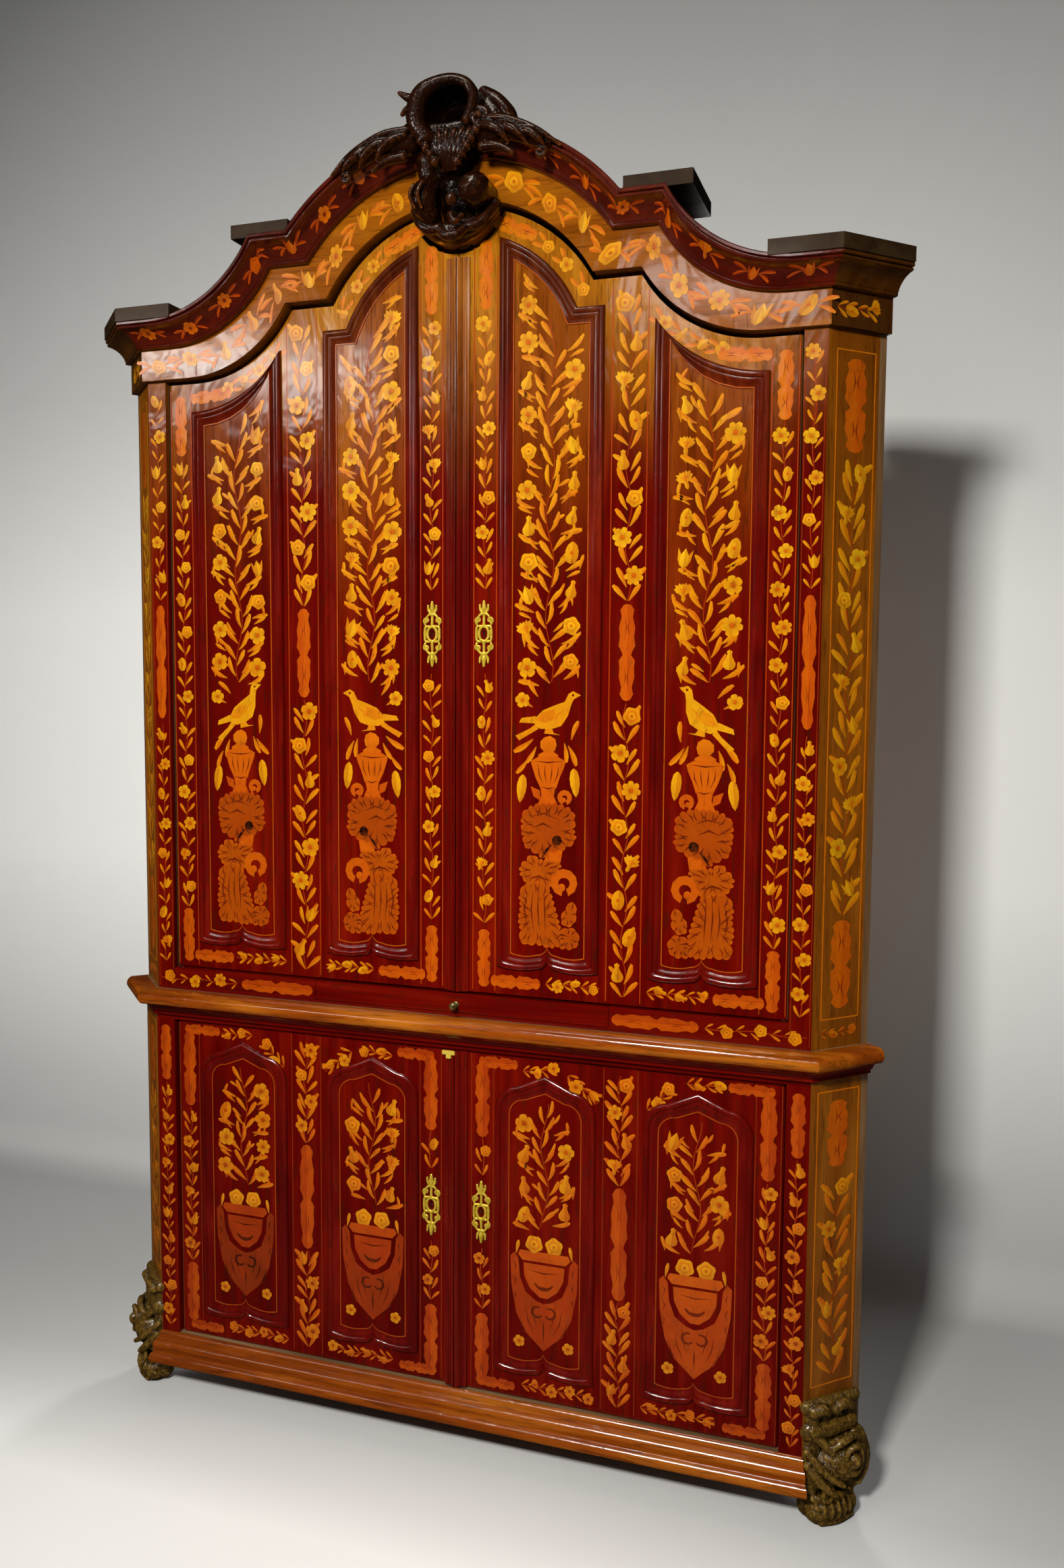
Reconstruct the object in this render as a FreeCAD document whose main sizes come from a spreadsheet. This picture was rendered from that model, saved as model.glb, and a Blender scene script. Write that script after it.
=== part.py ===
import FreeCAD, Part

import math
import os

import Sketcher

# Two-part corner cabinet: a lower and an upper case with canted returns, four panelled doors on
# pivot pins, a pull-out slide, an arched hood with a carved crest, and scrolled feet.
# Everything is drawn with the front of the upper case on y = 0 and the wall corner at +Y; each
# piece is then shifted by front_y, so that the origin is under the middle of the whole cabinet.

doc = FreeCAD.newDocument("corner_cabinet")
sheet = doc.addObject("Spreadsheet::Sheet", "dims")


class Size:
    """A length that carries its number and the sheet expression that gives it."""

    def __init__(self, number, text=None):
        self.number = float(number)
        self.text = text or repr(float(number))

    def join(self, other, sign, number):
        return Size(number, f"({self.text} {sign} {as_size(other).text})")

    def __add__(self, other):
        return self.join(other, "+", self.number + as_size(other).number)

    def __sub__(self, other):
        return self.join(other, "-", self.number - as_size(other).number)

    def __mul__(self, other):
        return self.join(other, "*", self.number * as_size(other).number)

    def __truediv__(self, other):
        return self.join(other, "/", self.number / as_size(other).number)

    def __radd__(self, other):
        return as_size(other) + self

    def __rsub__(self, other):
        return as_size(other) - self

    def __rmul__(self, other):
        return as_size(other) * self

    def __neg__(self):
        return as_size(0) - self


def as_size(value):
    return value if isinstance(value, Size) else Size(value)


def root(size):
    size = as_size(size)
    return Size(math.sqrt(size.number), f"sqrt({size.text})")


def cell(name, number):
    """Put one driving dimension in the sheet, in millimetres unless it is a share."""
    cell.row += 1
    sheet.set(f"A{cell.row}", name)
    sheet.set(f"B{cell.row}", str(number))
    sheet.setAlias(f"B{cell.row}", name)
    return Size(number, f"dims.{name}")


cell.row = 0

# Plan
half_front = cell("half_front", 639)
cant_run = cell("cant_run", 85)
depth = cell("depth", 800)
lower_step = cell("lower_step", 4.5)
crest_reach = cell("crest_reach", 95)
side_board = cell("side_board", 22)
stile_depth = cell("stile_depth", 34)
back_board = cell("back_board", 14)
shelf_board = cell("shelf_board", 20)
shelf_setback = cell("shelf_setback", 60)
opening_half = cell("opening_half", 601)
# Heights above the floor
base_low = cell("base_low", 55)
floor_low = cell("floor_low", 92)
floor_top = cell("floor_top", 116)
lower_head = cell("lower_head", 764)
waist_low = cell("waist_low", 774)
lid_low = cell("lid_low", 794)
waist_top = cell("waist_top", 824)
waist_lip = cell("waist_lip", 30)
rail_top = cell("rail_top", 868)
lower_shelf_z = cell("lower_shelf_z", 430)
upper_shelf_z = cell("upper_shelf_z", 1180)
upper_shelf_pitch = cell("upper_shelf_pitch", 330)
above_all = cell("above_all", 2600)
# Feet
foot_top = cell("foot_top", 226)
foot_under = cell("foot_under", 70)
foot_cheek = cell("foot_cheek", 3)
rear_foot_y = cell("rear_foot_y", 640)
rear_foot_half = cell("rear_foot_half", 48)
# Hood: an arch between two shoulders and two hollow sweeps; every line of it is this one, offset
hood_centre = cell("hood_centre", 1978)
hood_radius = cell("hood_radius", 289)
shoulder_rise = cell("shoulder_rise", 145)
sweep_start = cell("sweep_start", 334)
sweep_start_lean = cell("sweep_start_lean", 0.44)
sweep_end = cell("sweep_end", 540)
sweep_end_lean = cell("sweep_end_lean", 0.54)
end_height = cell("end_height", 2004)
end_growth = cell("end_growth", 0.9)
lobe_half = cell("lobe_half", 78)
lobe_drop = cell("lobe_drop", 66)
frieze_reach = cell("frieze_reach", 12)
frieze_band = cell("frieze_band", 63)
hood_band = cell("hood_band", 111)
roof_board = cell("roof_board", 12)
cornice_reach = cell("cornice_reach", 48)
past_case = cell("past_case", 790)
wedge_out = cell("wedge_out", 130)
wedge_in = cell("wedge_in", -60)
plate_board = cell("plate_board", 24)
plate_overhang = cell("plate_overhang", 62)
plate_near = cell("plate_near", 309)
plate_far = cell("plate_far", 425)
plate_front = cell("plate_front", -45)
plate_back = cell("plate_back", 110)
end_plate_near = cell("end_plate_near", 548)
end_plate_back = cell("end_plate_back", 190)
spray_board = cell("spray_board", 14)
cartouche_reach = cell("cartouche_reach", 78)
# Doors
door_board = cell("door_board", 24)
door_recess = cell("door_recess", 8)
door_gap = cell("door_gap", 2.5)
door_lift = cell("door_lift", 3)
hood_gap = cell("hood_gap", 8)
meeting_gap = cell("meeting_gap", 1)
edge_round = cell("edge_round", 7)
pin_radius = cell("pin_radius", 4)
pin_play = cell("pin_play", 0.05)
pin_depth = cell("pin_depth", 20)
tang_half = cell("tang_half", 4.5)
bore_spare = cell("bore_spare", 1)
panel_board = cell("panel_board", 16)
inner_near = cell("inner_near", 77)
inner_far = cell("inner_far", 267)
outer_near = cell("outer_near", 354)
outer_far = cell("outer_far", 547)
panel_arch_drop = cell("panel_arch_drop", 51)
panel_sweep_high = cell("panel_sweep_high", 2044)
panel_sweep_low = cell("panel_sweep_low", 1944)
upper_panel_low = cell("upper_panel_low", 922)
lower_panel_low = cell("lower_panel_low", 167)
spring_height = cell("spring_height", 660)
apex_height = cell("apex_height", 729)
cusp_half = cell("cusp_half", 18)
cusp_rise = cell("cusp_rise", 14)
bottom_sag = cell("bottom_sag", 4)
moulding_width = cell("moulding_width", 28)
moulding_rise = cell("moulding_rise", 7)
moulding_side = cell("moulding_side", 4)
moulding_lip = cell("moulding_lip", 2)
crown_near = cell("crown_near", 7)
crown_far = cell("crown_far", 12)
astragal_half = cell("astragal_half", 22)
astragal_rise = cell("astragal_rise", 12)
# Locks and escutcheons
key_x = cell("key_x", 50)
upper_key_z = cell("upper_key_z", 1521)
lower_key_z = cell("lower_key_z", 460)
escutcheon_board = cell("escutcheon_board", 2.5)
keyhole_half = cell("keyhole_half", 2)
keyhole_reach = cell("keyhole_reach", 7)
keyhole_bend = cell("keyhole_bend", 2.6)
lock_x = cell("lock_x", 4)
lock_width = cell("lock_width", 80)
lock_wall = cell("lock_wall", 8)
lock_half = cell("lock_half", 30)
lock_depth = cell("lock_depth", 18)
bolt_half = cell("bolt_half", 12)
bolt_length = cell("bolt_length", 56)
bolt_board = cell("bolt_board", 8)
bolt_play = cell("bolt_play", 0.5)
# Slide
slide_half = cell("slide_half", 288)
slide_length = cell("slide_length", 470)
slide_play = cell("slide_play", 1)
bed_board = cell("bed_board", 6)
slide_board = cell("slide_board", 14)
lip_depth = cell("lip_depth", 24)

front_y = (crest_reach - depth) / 2
wall_sum = half_front + 2 * cant_run
root2 = root(2)
zero = Size(0)


def shift_back(item):
    item.setExpression("Placement.Base.y", front_y.text)
    return item


def new_body(label):
    body = doc.addObject("PartDesign::Body", label)
    body.Label = label
    return shift_back(body)


def new_sketch(body, role, level):
    """Sketch on one of the body's own origin planes, moved along that plane's normal."""
    plane = next(item for item in body.Origin.OriginFeatures if item.Role == role)
    sketch = body.newObject("Sketcher::SketchObject", "outline")
    sketch.AttachmentSupport = [(plane, "")]
    sketch.MapMode = "FlatFace"
    sketch.setExpression("AttachmentOffset.Base.z", as_size(level).text)
    return sketch


def arc_between(start, stop, radius):
    """Arc under a half circle from start to stop, turning left where radius is positive."""
    chord = stop - start
    left = FreeCAD.Vector(-chord.y, chord.x, 0)
    left.normalize()
    rise = math.sqrt(max(radius * radius - chord.Length ** 2 / 4, 0))
    centre = (start + stop) * 0.5 + left * math.copysign(rise, radius)
    first, last = (start, stop) if radius > 0 else (stop, start)
    begin = math.atan2(first.y - centre.y, first.x - centre.x)
    end = math.atan2(last.y - centre.y, last.x - centre.x)
    circle = Part.Circle(centre, FreeCAD.Vector(0, 0, 1), abs(radius))
    return Part.ArcOfCircle(circle, begin, end if end > begin else end + 2 * math.pi)


def draw(sketch, corners):
    """Closed outline through (x, y) corners; (x, y, radius) starts an arc to the next corner."""
    base = sketch.GeometryCount
    count = len(corners)
    points = [FreeCAD.Vector(as_size(c[0]).number, as_size(c[1]).number, 0) for c in corners]
    ends = []
    for i, corner in enumerate(corners):
        start, stop = points[i], points[(i + 1) % count]
        radius = as_size(corner[2]).number if len(corner) == 3 else None
        if radius is None:
            sketch.addGeometry(Part.LineSegment(start, stop))
        else:
            sketch.addGeometry(arc_between(start, stop, radius))
        ends.append((2, 1) if radius and radius < 0 else (1, 2))
    for i, corner in enumerate(corners):
        after = (i + 1) % count
        sketch.addConstraint(
            Sketcher.Constraint("Coincident", base + i, ends[i][1], base + after, ends[after][0]))
        for kind, value in (("DistanceX", corner[0]), ("DistanceY", corner[1])):
            value = as_size(value)
            index = sketch.addConstraint(
                Sketcher.Constraint(kind, base + i, ends[i][0], value.number))
            sketch.setExpression(f"Constraints[{index}]", value.text)
        if len(corner) == 3:
            radius = as_size(corner[2])
            index = sketch.addConstraint(
                Sketcher.Constraint("Radius", base + i, abs(radius.number)))
            sketch.setExpression(f"Constraints[{index}]", f"abs({radius.text})")


def pad(body, sketch, length):
    feature = body.newObject("PartDesign::Pad", "pad")
    feature.Profile = sketch
    feature.setExpression("Length", as_size(length).text)
    return feature


def plan_board(label, corners, low, height):
    """Board of one plan outline, standing from low upwards."""
    body = new_body(label)
    sketch = new_sketch(body, "XY_Plane", low)
    draw(sketch, corners)
    pad(body, sketch, height)
    return body


def front_board(label, loops, back, thickness):
    """Board of front outlines (x, z), with its back face at y = back."""
    body = new_body(label)
    sketch = new_sketch(body, "XZ_Plane", -as_size(back))
    for loop in loops:
        draw(sketch, loop)
    pad(body, sketch, thickness)
    return body


def ruled_loft(body, kind, role, sections):
    """Loft with straight rules through outlines on one kind of plane, each given as (level, loop)."""
    sketches = []
    for level, loop in sections:
        sketch = new_sketch(body, role, level)
        draw(sketch, loop)
        sketches.append(sketch)
    feature = body.newObject(kind, "loft")
    feature.Profile = sketches[0]
    feature.Sections = sketches[1:]
    feature.Ruled = True


def front_loft(body, kind, sections):
    """Ruled loft through front outlines, each given as (y, loop)."""
    ruled_loft(body, kind, "XZ_Plane", [(-as_size(level), loop) for level, loop in sections])


def block(label, low, high):
    """Plain rectangular block between two corners."""
    item = doc.addObject("Part::Box", label)
    for axis, size, a, b in zip("xyz", ("Length", "Width", "Height"), low, high):
        start = as_size(a) + front_y if axis == "y" else as_size(a)
        item.setExpression(size, (as_size(b) - a).text)
        item.setExpression(f"Placement.Base.{axis}", start.text)
    return item


def peg(label, x, y, low, radius, height):
    item = doc.addObject("Part::Cylinder", label)
    item.setExpression("Radius", as_size(radius).text)
    item.setExpression("Height", as_size(height).text)
    for axis, value in zip("xyz", (as_size(x), as_size(y) + front_y, as_size(low))):
        item.setExpression(f"Placement.Base.{axis}", value.text)
    return item


def boolean(kind, label, base, tool):
    item = doc.addObject(f"Part::{kind}", label)
    item.Base = base
    item.Tool = tool
    return item


def group(label, items):
    item = doc.addObject("Part::Compound", label)
    item.Links = items
    return item


def mirrored(label, source):
    """The same piece on the other side of the cabinet's middle plane."""
    item = doc.addObject("Part::Mirroring", label)
    item.Source = source
    item.Normal = FreeCAD.Vector(1, 0, 0)
    return item


pieces = []


def keep(item, label=None):
    """Count an object as a finished sub-part, under the name of its node."""
    item.Label = label or item.Label
    pieces.append(item)
    return item


def keep_pair(name, right):
    keep(right, f"{name}_right")
    return keep(mirrored(f"{name}_left", right))


# Plan corners: out is the distance outside the upper case's faces, inset the one from the wall
def front_corner(out):
    return half_front + out * (root2 - 1), -as_size(out)


def rear_corner(out, inset):
    cant = half_front + out * root2
    wall = wall_sum - inset * root2
    return (wall + cant) / 2, (wall - cant) / 2


def cant_at(y, out):
    return half_front + out * root2 + y


def wall_at(y, inset):
    return wall_sum - inset * root2 - y


def flipped(corners):
    return [(-corner[0], *corner[1:]) for corner in reversed(corners)]


def both_sides(right):
    """Whole plan outline from its right half, which runs from the front to the rear."""
    return right + flipped(right)


def case_plan(out):
    """Outline of a whole case board, clipped at the wall corner."""
    return both_sides([front_corner(out), rear_corner(out, 0), (wall_at(depth, 0), depth)])


def inner_plan(out, front):
    """Outline of a board between the sides and the backs, with its front edge at y = front."""
    inner_out = out - side_board
    right = [(cant_at(front, inner_out), front), rear_corner(inner_out, back_board)]
    return right + [(zero, wall_at(zero, back_board))] + flipped(right)


def side_plan(out):
    inner_out = out - side_board
    return [front_corner(out), rear_corner(out, back_board),
            rear_corner(inner_out, back_board), front_corner(inner_out)]


def stile_plan(out):
    return [(opening_half, -as_size(out)), front_corner(out), front_corner(out - stile_depth),
            (opening_half, stile_depth - out)]


def back_plan(out):
    """Back board from the cant to the mitre in the wall corner."""
    return [rear_corner(out, 0), (wall_at(depth, 0), depth), (zero, depth),
            (zero, wall_at(zero, back_board)), rear_corner(out, back_board)]


# Hood lines: offset 0 is the frieze's lower edge
def hood_end(offset):
    return end_height + end_growth * offset


def hood_shoulder(offset):
    return hood_centre + shoulder_rise + offset


def arch_x(offset, z):
    radius = hood_radius + offset
    return root(radius * radius - (z - hood_centre) * (z - hood_centre))


def arch_z(offset, x):
    radius = hood_radius + offset
    return hood_centre + root(radius * radius - x * x)


def tangent_radius(run, rise):
    """Radius of an arc that leaves a straight line smoothly and gains run along it, rise off it."""
    return (run * run + rise * rise) / (2 * rise)


def hood_side(offset, reach):
    """Right half of one hood line, from the end inwards to the foot of the arch."""
    start = sweep_start + sweep_start_lean * offset
    end = sweep_end + sweep_end_lean * offset
    shoulder = hood_shoulder(offset)
    radius = tangent_radius(end - start, shoulder - hood_end(offset))
    return [(reach, hood_end(offset)), (end, hood_end(offset), -radius), (start, shoulder),
            (arch_x(offset, shoulder), shoulder, hood_radius + offset)]


def turned(corners):
    """The same run of corners, walked the other way; each arc moves to its other end."""
    turned_run = []
    for i in range(len(corners) - 1, -1, -1):
        bend = [-corners[i - 1][2]] if i and len(corners[i - 1]) == 3 else []
        turned_run.append((corners[i][0], corners[i][1], *bend))
    return turned_run


def hood_line(offset, reach):
    """One hood line from the right end over the arch to the left end."""
    right = hood_side(offset, reach)
    left = [(-x, z, *bend) for x, z, *bend in turned(right[:-1] + [right[-1][:2]])]
    left = [(corner[0], corner[1], *[-b for b in corner[2:]]) for corner in left]
    return right + left


def hood_ring(low, high, reach):
    """Closed band between two hood lines."""
    return hood_line(high, reach) + turned(hood_line(low, reach))


# Wedges that mitre the front lengths and the returns along one line at each front corner
front_wedge = plan_board(
    "front_wedge", both_sides([front_corner(wedge_out), front_corner(wedge_in)]), zero, above_all)
side_wedge = plan_board(
    "side_wedge", [front_corner(wedge_out), rear_corner(wedge_out, 0),
                   rear_corner(wedge_in, 0), front_corner(wedge_in)], zero, above_all)

# Pivot pins: each door turns on an upper and a lower forged pin, a square tang driven into the
# case and a round journal in the door; the lower tangs stand up as shoulders that carry the door
def pivot_pin(label, x, y, tang, journal):
    """Pin at x, y whose tang and journal each run from a low to a high level."""
    square = block(label, (x - tang_half, y - tang_half, tang[0]),
                   (x + tang_half, y + tang_half, tang[1]))
    turned = peg(label, x, y, journal[0], pin_radius, journal[1] - journal[0])
    return boolean("Fuse", label, square, turned)


pivot_x = opening_half - door_gap - edge_round
door_levels = {"upper": (rail_top, hood_end(zero), hood_gap * end_growth, zero),
               "lower": (floor_top, lower_head, door_lift, lower_step)}
pins = []
bores = []
for storey, (bottom, top, top_gap, out) in door_levels.items():
    pivot_y = door_recess + edge_round - out
    for side in (1, -1):
        shoulder = bottom + door_lift
        pins.append(pivot_pin(f"{storey}_pin", pivot_x * side, pivot_y,
                              (bottom - pin_depth, shoulder), (bottom, shoulder + pin_depth)))
        pins.append(pivot_pin(f"{storey}_pin", pivot_x * side, pivot_y, (top, top + pin_depth),
                              (top - top_gap - pin_depth, top + pin_radius)))
    for low in (bottom + door_lift - bore_spare, top - top_gap - pin_depth - bore_spare):
        bores.append(peg(f"{storey}_bore", pivot_x, pivot_y, low, pin_radius + pin_play,
                         pin_depth + 2 * bore_spare))
pivot_pins = keep(group("pivot_pins", pins))

# Lower case
keep_pair("lower_side", plan_board("lower_side", side_plan(lower_step), floor_top,
                                   lid_low - floor_top))
keep_pair("lower_stile", plan_board("lower_stile", stile_plan(lower_step), floor_top,
                                    lower_head - floor_top))
keep_pair("lower_back", plan_board("lower_back", back_plan(lower_step), floor_top,
                                   lid_low - floor_top))
floor_blank = plan_board("floor_blank", case_plan(lower_step), floor_low, floor_top - floor_low)
keep(boolean("Cut", "lower_bottom", floor_blank, pivot_pins))
head_plan = both_sides([front_corner(lower_step), front_corner(lower_step - stile_depth)])
head_blank = plan_board("head_blank", head_plan, lower_head, lid_low - lower_head)
keep(boolean("Cut", "lower_head_rail", head_blank, pivot_pins))
keep(plan_board("lower_top", case_plan(lower_step), lid_low, waist_top - lid_low))
keep(plan_board("lower_shelf", inner_plan(lower_step, shelf_setback), lower_shelf_z, shelf_board))


def facing_out(profile):
    """Profile of (outwards, z) corners as a sketch on a plane whose first axis points inwards."""
    return [(-as_size(out), z, *[-bend for bend in bends]) for out, z, *bends in profile]


# Straight mouldings: one profile of (outwards, z) corners, run along the front and the returns
def moulding_run(label, profile, turned_45):
    body = new_body(f"{label}_blank")
    if turned_45:
        body.Placement.Rotation = FreeCAD.Rotation(FreeCAD.Vector(0, 0, 1), 45)
        body.setExpression("Placement.Base.x", half_front.text)
    run = half_front + wedge_out
    sketch = new_sketch(body, "YZ_Plane", -run)
    draw(sketch, facing_out(profile))
    pad(body, sketch, 2 * run)
    return boolean("Common", label, body, side_wedge if turned_45 else front_wedge)


# Steps of the two mouldings: out from the case, up from the underside, and the arc that follows
BASE_STEPS = ((22, 0), (28, 4, 12), (28, 22), (21, 25), (21, 31, 10), (16, 46), (9, 49), (9, 53, 8))
WAIST_STEPS = ((0, 0), (7, 0), (7, 6), (11, 8, -24), (31, 24), (35, 26, 14))


def stepped(steps, low):
    return [(lower_step + out, low + up, *bend) for out, up, *bend in steps]


base_profile = [(lower_step, floor_low), (lower_step - stile_depth, floor_low),
                (lower_step - stile_depth, base_low)]
base_profile += stepped(BASE_STEPS, base_low) + [(lower_step, floor_top)]
keep(moulding_run("base_moulding", base_profile, False))

waist_profile = [(lower_step, waist_top)] + stepped(WAIST_STEPS, waist_low)
waist_profile += [(lower_step + waist_lip, waist_top)]
waist_right = moulding_run("waist_return", waist_profile, True)
waist_front = moulding_run("waist_front", waist_profile, False)
keep(group("waist_moulding", [waist_front, waist_right, mirrored("waist_return", waist_right)]))

# Scrolled front feet on the canted corners: toe, hollow, knee and rolled top, swelling midway
# Stations along the canted face with the swell of the profile there, then the profile itself as
# reach, height and the arc that follows
FOOT_STATIONS = ((-45, 0.8), (10, 1.0), (62, 1.04), (118, 0.92))
FOOT_STEPS = ((30, 0), (35, 9), (35, 24), (27, 34), (20, 46), (36, 62), (46, 84), (49, 105), (46, 126),
              (36, 148), (22, 164), (11, 186, 24))


def foot_profile(swell):
    face = lower_step
    curved = [(face + reach * swell, Size(z), *bend) for reach, z, *bend in FOOT_STEPS]
    return [(face - foot_under, zero)] + curved + [
        (face + foot_cheek, foot_top), (face, foot_top), (face, floor_low),
        (face - foot_under, floor_low)]


foot_body = new_body("foot_blank")
foot_body.Placement.Rotation = FreeCAD.Rotation(FreeCAD.Vector(0, 0, 1), 45)
foot_body.setExpression("Placement.Base.x", half_front.text)
ruled_loft(foot_body, "PartDesign::AdditiveLoft", "YZ_Plane",
           [(station, facing_out(foot_profile(swell))) for station, swell in FOOT_STATIONS])
keep_pair("foot", boolean("Common", "foot", foot_body, side_wedge))
keep(block("foot_rear", (-rear_foot_half, rear_foot_y, zero),
           (rear_foot_half, rear_foot_y + 2 * rear_foot_half, floor_low)))

# Upper case
roof_end = hood_end(frieze_band - roof_board)
keep_pair("upper_side", plan_board("upper_side", side_plan(zero), waist_top, roof_end - waist_top))
keep_pair("upper_stile", plan_board("upper_stile", stile_plan(zero), waist_top,
                                    end_height - waist_top))
hood_space = front_board(
    "hood_space", [hood_line(frieze_band - roof_board, past_case)
                   + [(-past_case, waist_top), (past_case, waist_top)]], depth, depth)
back_blank = plan_board("back_blank", back_plan(zero), waist_top, above_all - waist_top)
keep_pair("upper_back", boolean("Common", "upper_back", back_blank, hood_space))
keep(plan_board("upper_bottom", inner_plan(zero, stile_depth), rail_top - shelf_board, shelf_board))
shelf_plan = inner_plan(zero, shelf_setback)
shelves = [plan_board("shelf", shelf_plan, upper_shelf_z + upper_shelf_pitch * i, shelf_board)
           for i in range(3)]
keep(group("upper_shelves", shelves))

# Waist rail with the mouth of the slide, and the bed that the slide runs on
mouth = slide_half + slide_play
mouth_low = waist_top + bed_board
rail_loop = [(-opening_half, waist_top), (opening_half, waist_top), (opening_half, rail_top),
             (mouth, rail_top), (mouth, mouth_low), (-mouth, mouth_low), (-mouth, rail_top),
             (-opening_half, rail_top)]
rail_blank = front_board("rail_blank", [rail_loop], stile_depth, stile_depth)
keep(boolean("Cut", "waist_rail", rail_blank, pivot_pins))
keep(block("slide_bed", (-mouth, stile_depth, waist_top), (mouth, slide_length, mouth_low)))


# Slide: a board with a deep front lip, drawn out by a small turned knob
KNOB_PROFILE = ((0, 0), (6, 0), (6, 3), (3.2, 3), (3.2, 11), (7, 11), (7, 21), (0, 21))
slide_low = mouth_low + slide_play
slide = new_body("slide_board")
slide_sketch = new_sketch(slide, "YZ_Plane", -slide_half)
draw(slide_sketch, [(zero, slide_low), (slide_length, slide_low),
                    (slide_length, slide_low + slide_board), (lip_depth, slide_low + slide_board),
                    (lip_depth, rail_top - slide_play), (zero, rail_top - slide_play)])
pad(slide, slide_sketch, 2 * slide_half)
keep(slide)
knob = new_body("slide_knob")
knob_sketch = new_sketch(knob, "XY_Plane", (waist_top + rail_top) / 2)
draw(knob_sketch, [(Size(r), -Size(y)) for r, y in KNOB_PROFILE])
turning = knob.newObject("PartDesign::Revolution", "turning")
turning.Profile = knob_sketch
turning.ReferenceAxis = (knob_sketch, ["V_Axis"])
turning.Angle = 360
keep(knob)

# Hood: pediment board with its pendant lobe, cornice, returns, roof boards and platforms
lobe_radius = tangent_radius(lobe_half, lobe_drop)


def lobe_foot(offset):
    """Where the arch at that offset meets the lobe at the same offset."""
    arch = hood_radius + offset
    lobe = lobe_radius - offset
    lobe_centre = arch_z(zero, lobe_half) - lobe_drop + lobe_radius
    rise = lobe_centre - hood_centre
    height = (arch * arch - lobe * lobe + rise * rise) / (2 * rise)
    return root(arch * arch - height * height), hood_centre + height, lobe


lobe_x, lobe_z, lobe_turn = lobe_foot(zero)
low_right = hood_side(zero, past_case)
low_left = hood_line(zero, past_case)[len(low_right):]
frieze_low = low_right + [(lobe_x, lobe_z, -lobe_turn), (-lobe_x, lobe_z, hood_radius)] + low_left
frieze_blank = front_board("frieze_blank",
                           [hood_line(hood_band, past_case) + turned(frieze_low)],
                           stile_depth, stile_depth + frieze_reach)
frieze_mitred = boolean("Common", "frieze_mitred", frieze_blank, front_wedge)
frieze = keep(boolean("Cut", "frieze", frieze_mitred, pivot_pins))
return_plan = [front_corner(frieze_reach), rear_corner(frieze_reach, 0), rear_corner(zero, 0),
               front_corner(zero)]
frieze_right = plan_board("frieze_return", return_plan, end_height,
                          hood_end(hood_band) - end_height)
keep(group("frieze_returns", [frieze_right, mirrored("frieze_return", frieze_right)]))

# Cornice profile, as distance out from the case and hood offset of its lower side
CORNICE_STEPS = ((0, 0), (9, 0), (12, 7), (15, 12), (22, 22), (31, 29), (42, 34),
                 (cornice_reach, 36))
cornice_blank = new_body("cornice_blank")
front_loft(cornice_blank, "PartDesign::AdditiveLoft",
           [(-(frieze_reach + out), hood_ring(frieze_band + low, hood_band, past_case))
            for out, low in CORNICE_STEPS])
cornice = keep(boolean("Common", "cornice_front", cornice_blank, front_wedge))
cornice_profile = [(frieze_reach + out, hood_end(frieze_band + low)) for out, low in CORNICE_STEPS]
cornice_profile += [(frieze_reach + cornice_reach, hood_end(hood_band)),
                    (frieze_reach, hood_end(hood_band))]
cornice_right = moulding_run("cornice_return", cornice_profile, True)
keep(group("cornice_returns", [cornice_right, mirrored("cornice_return", cornice_right)]))

roof_blank = front_board("roof_blank",
                         [hood_ring(frieze_band - roof_board, frieze_band, past_case)],
                         depth, depth - stile_depth)
roof_plan = plan_board("roof_plan", case_plan(zero), waist_top, above_all - waist_top)
keep(boolean("Common", "hood_roof", roof_blank, roof_plan))

shoulder_top = hood_shoulder(hood_band)
plate_shoulder = block("shoulder_plate", (plate_near, plate_front, shoulder_top),
                       (plate_far, plate_back, shoulder_top + plate_board))
plate_end_blank = plan_board(
    "end_plate", [(end_plate_near, -plate_overhang), front_corner(plate_overhang),
                  rear_corner(plate_overhang, 0), (wall_at(end_plate_back, 0), end_plate_back),
                  (end_plate_near, end_plate_back)], hood_end(hood_band), plate_board)
hood_front = group("hood_front", [frieze, cornice])
plate_end = boolean("Cut", "end_plate", plate_end_blank, hood_front)
keep(group("platforms", [plate_shoulder, mirrored("shoulder_plate", plate_shoulder), plate_end,
                         mirrored("end_plate", plate_end)]))

# Crest: a carved cartouche with a domed hood and swelling pods, cut over the hood's mouldings, and a
# leaf spray on each side. The outlines are x and height; the pods are x, depth from the front of the
# case, height and radius, and rise through rings of a share of that radius
CARTOUCHE = ((0, 2186), (28, 2194), (50, 2218), (66, 2250), (62, 2284), (40, 2318), (66, 2352),
             (62, 2394), (40, 2418), (-40, 2418), (-62, 2394), (-66, 2352), (-40, 2318), (-62, 2284),
             (-66, 2250), (-50, 2218), (-28, 2194))
SPRAY_LOOP = ((58, 2394), (140, 2370), (214, 2316), (206, 2300), (190, 2306), (130, 2334), (58, 2352))
CREST_PODS = ((4, -37, 2392, 58), (60, 14, 2396, 46), (46, -60, 2262, 33), (-44, -60, 2256, 31))
POD_SIDES = [math.pi / 8 + math.pi / 4 * i for i in range(8)]
POD_RINGS = ((-1.0, 0.45), (-0.45, 1.0), (0.45, 1.0), (1.0, 0.45))
crest_forms = []
for x, y, z, radius in CREST_PODS:
    pod = new_body("crest_pod")
    pod.Placement.Base = FreeCAD.Vector(x, 0, z)
    pod.setExpression("Placement.Base.y", (front_y + y).text)
    ruled_loft(pod, "PartDesign::AdditiveLoft", "XY_Plane", [
        (radius * rise, [(radius * share * math.cos(a), radius * share * math.sin(a)) for a in POD_SIDES])
        for rise, share in POD_RINGS])
    crest_forms.append(pod)
cornice_face = -(frieze_reach + cornice_reach)
crest_forms.append(front_board("crest_board", [CARTOUCHE], zero, cartouche_reach))
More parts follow.
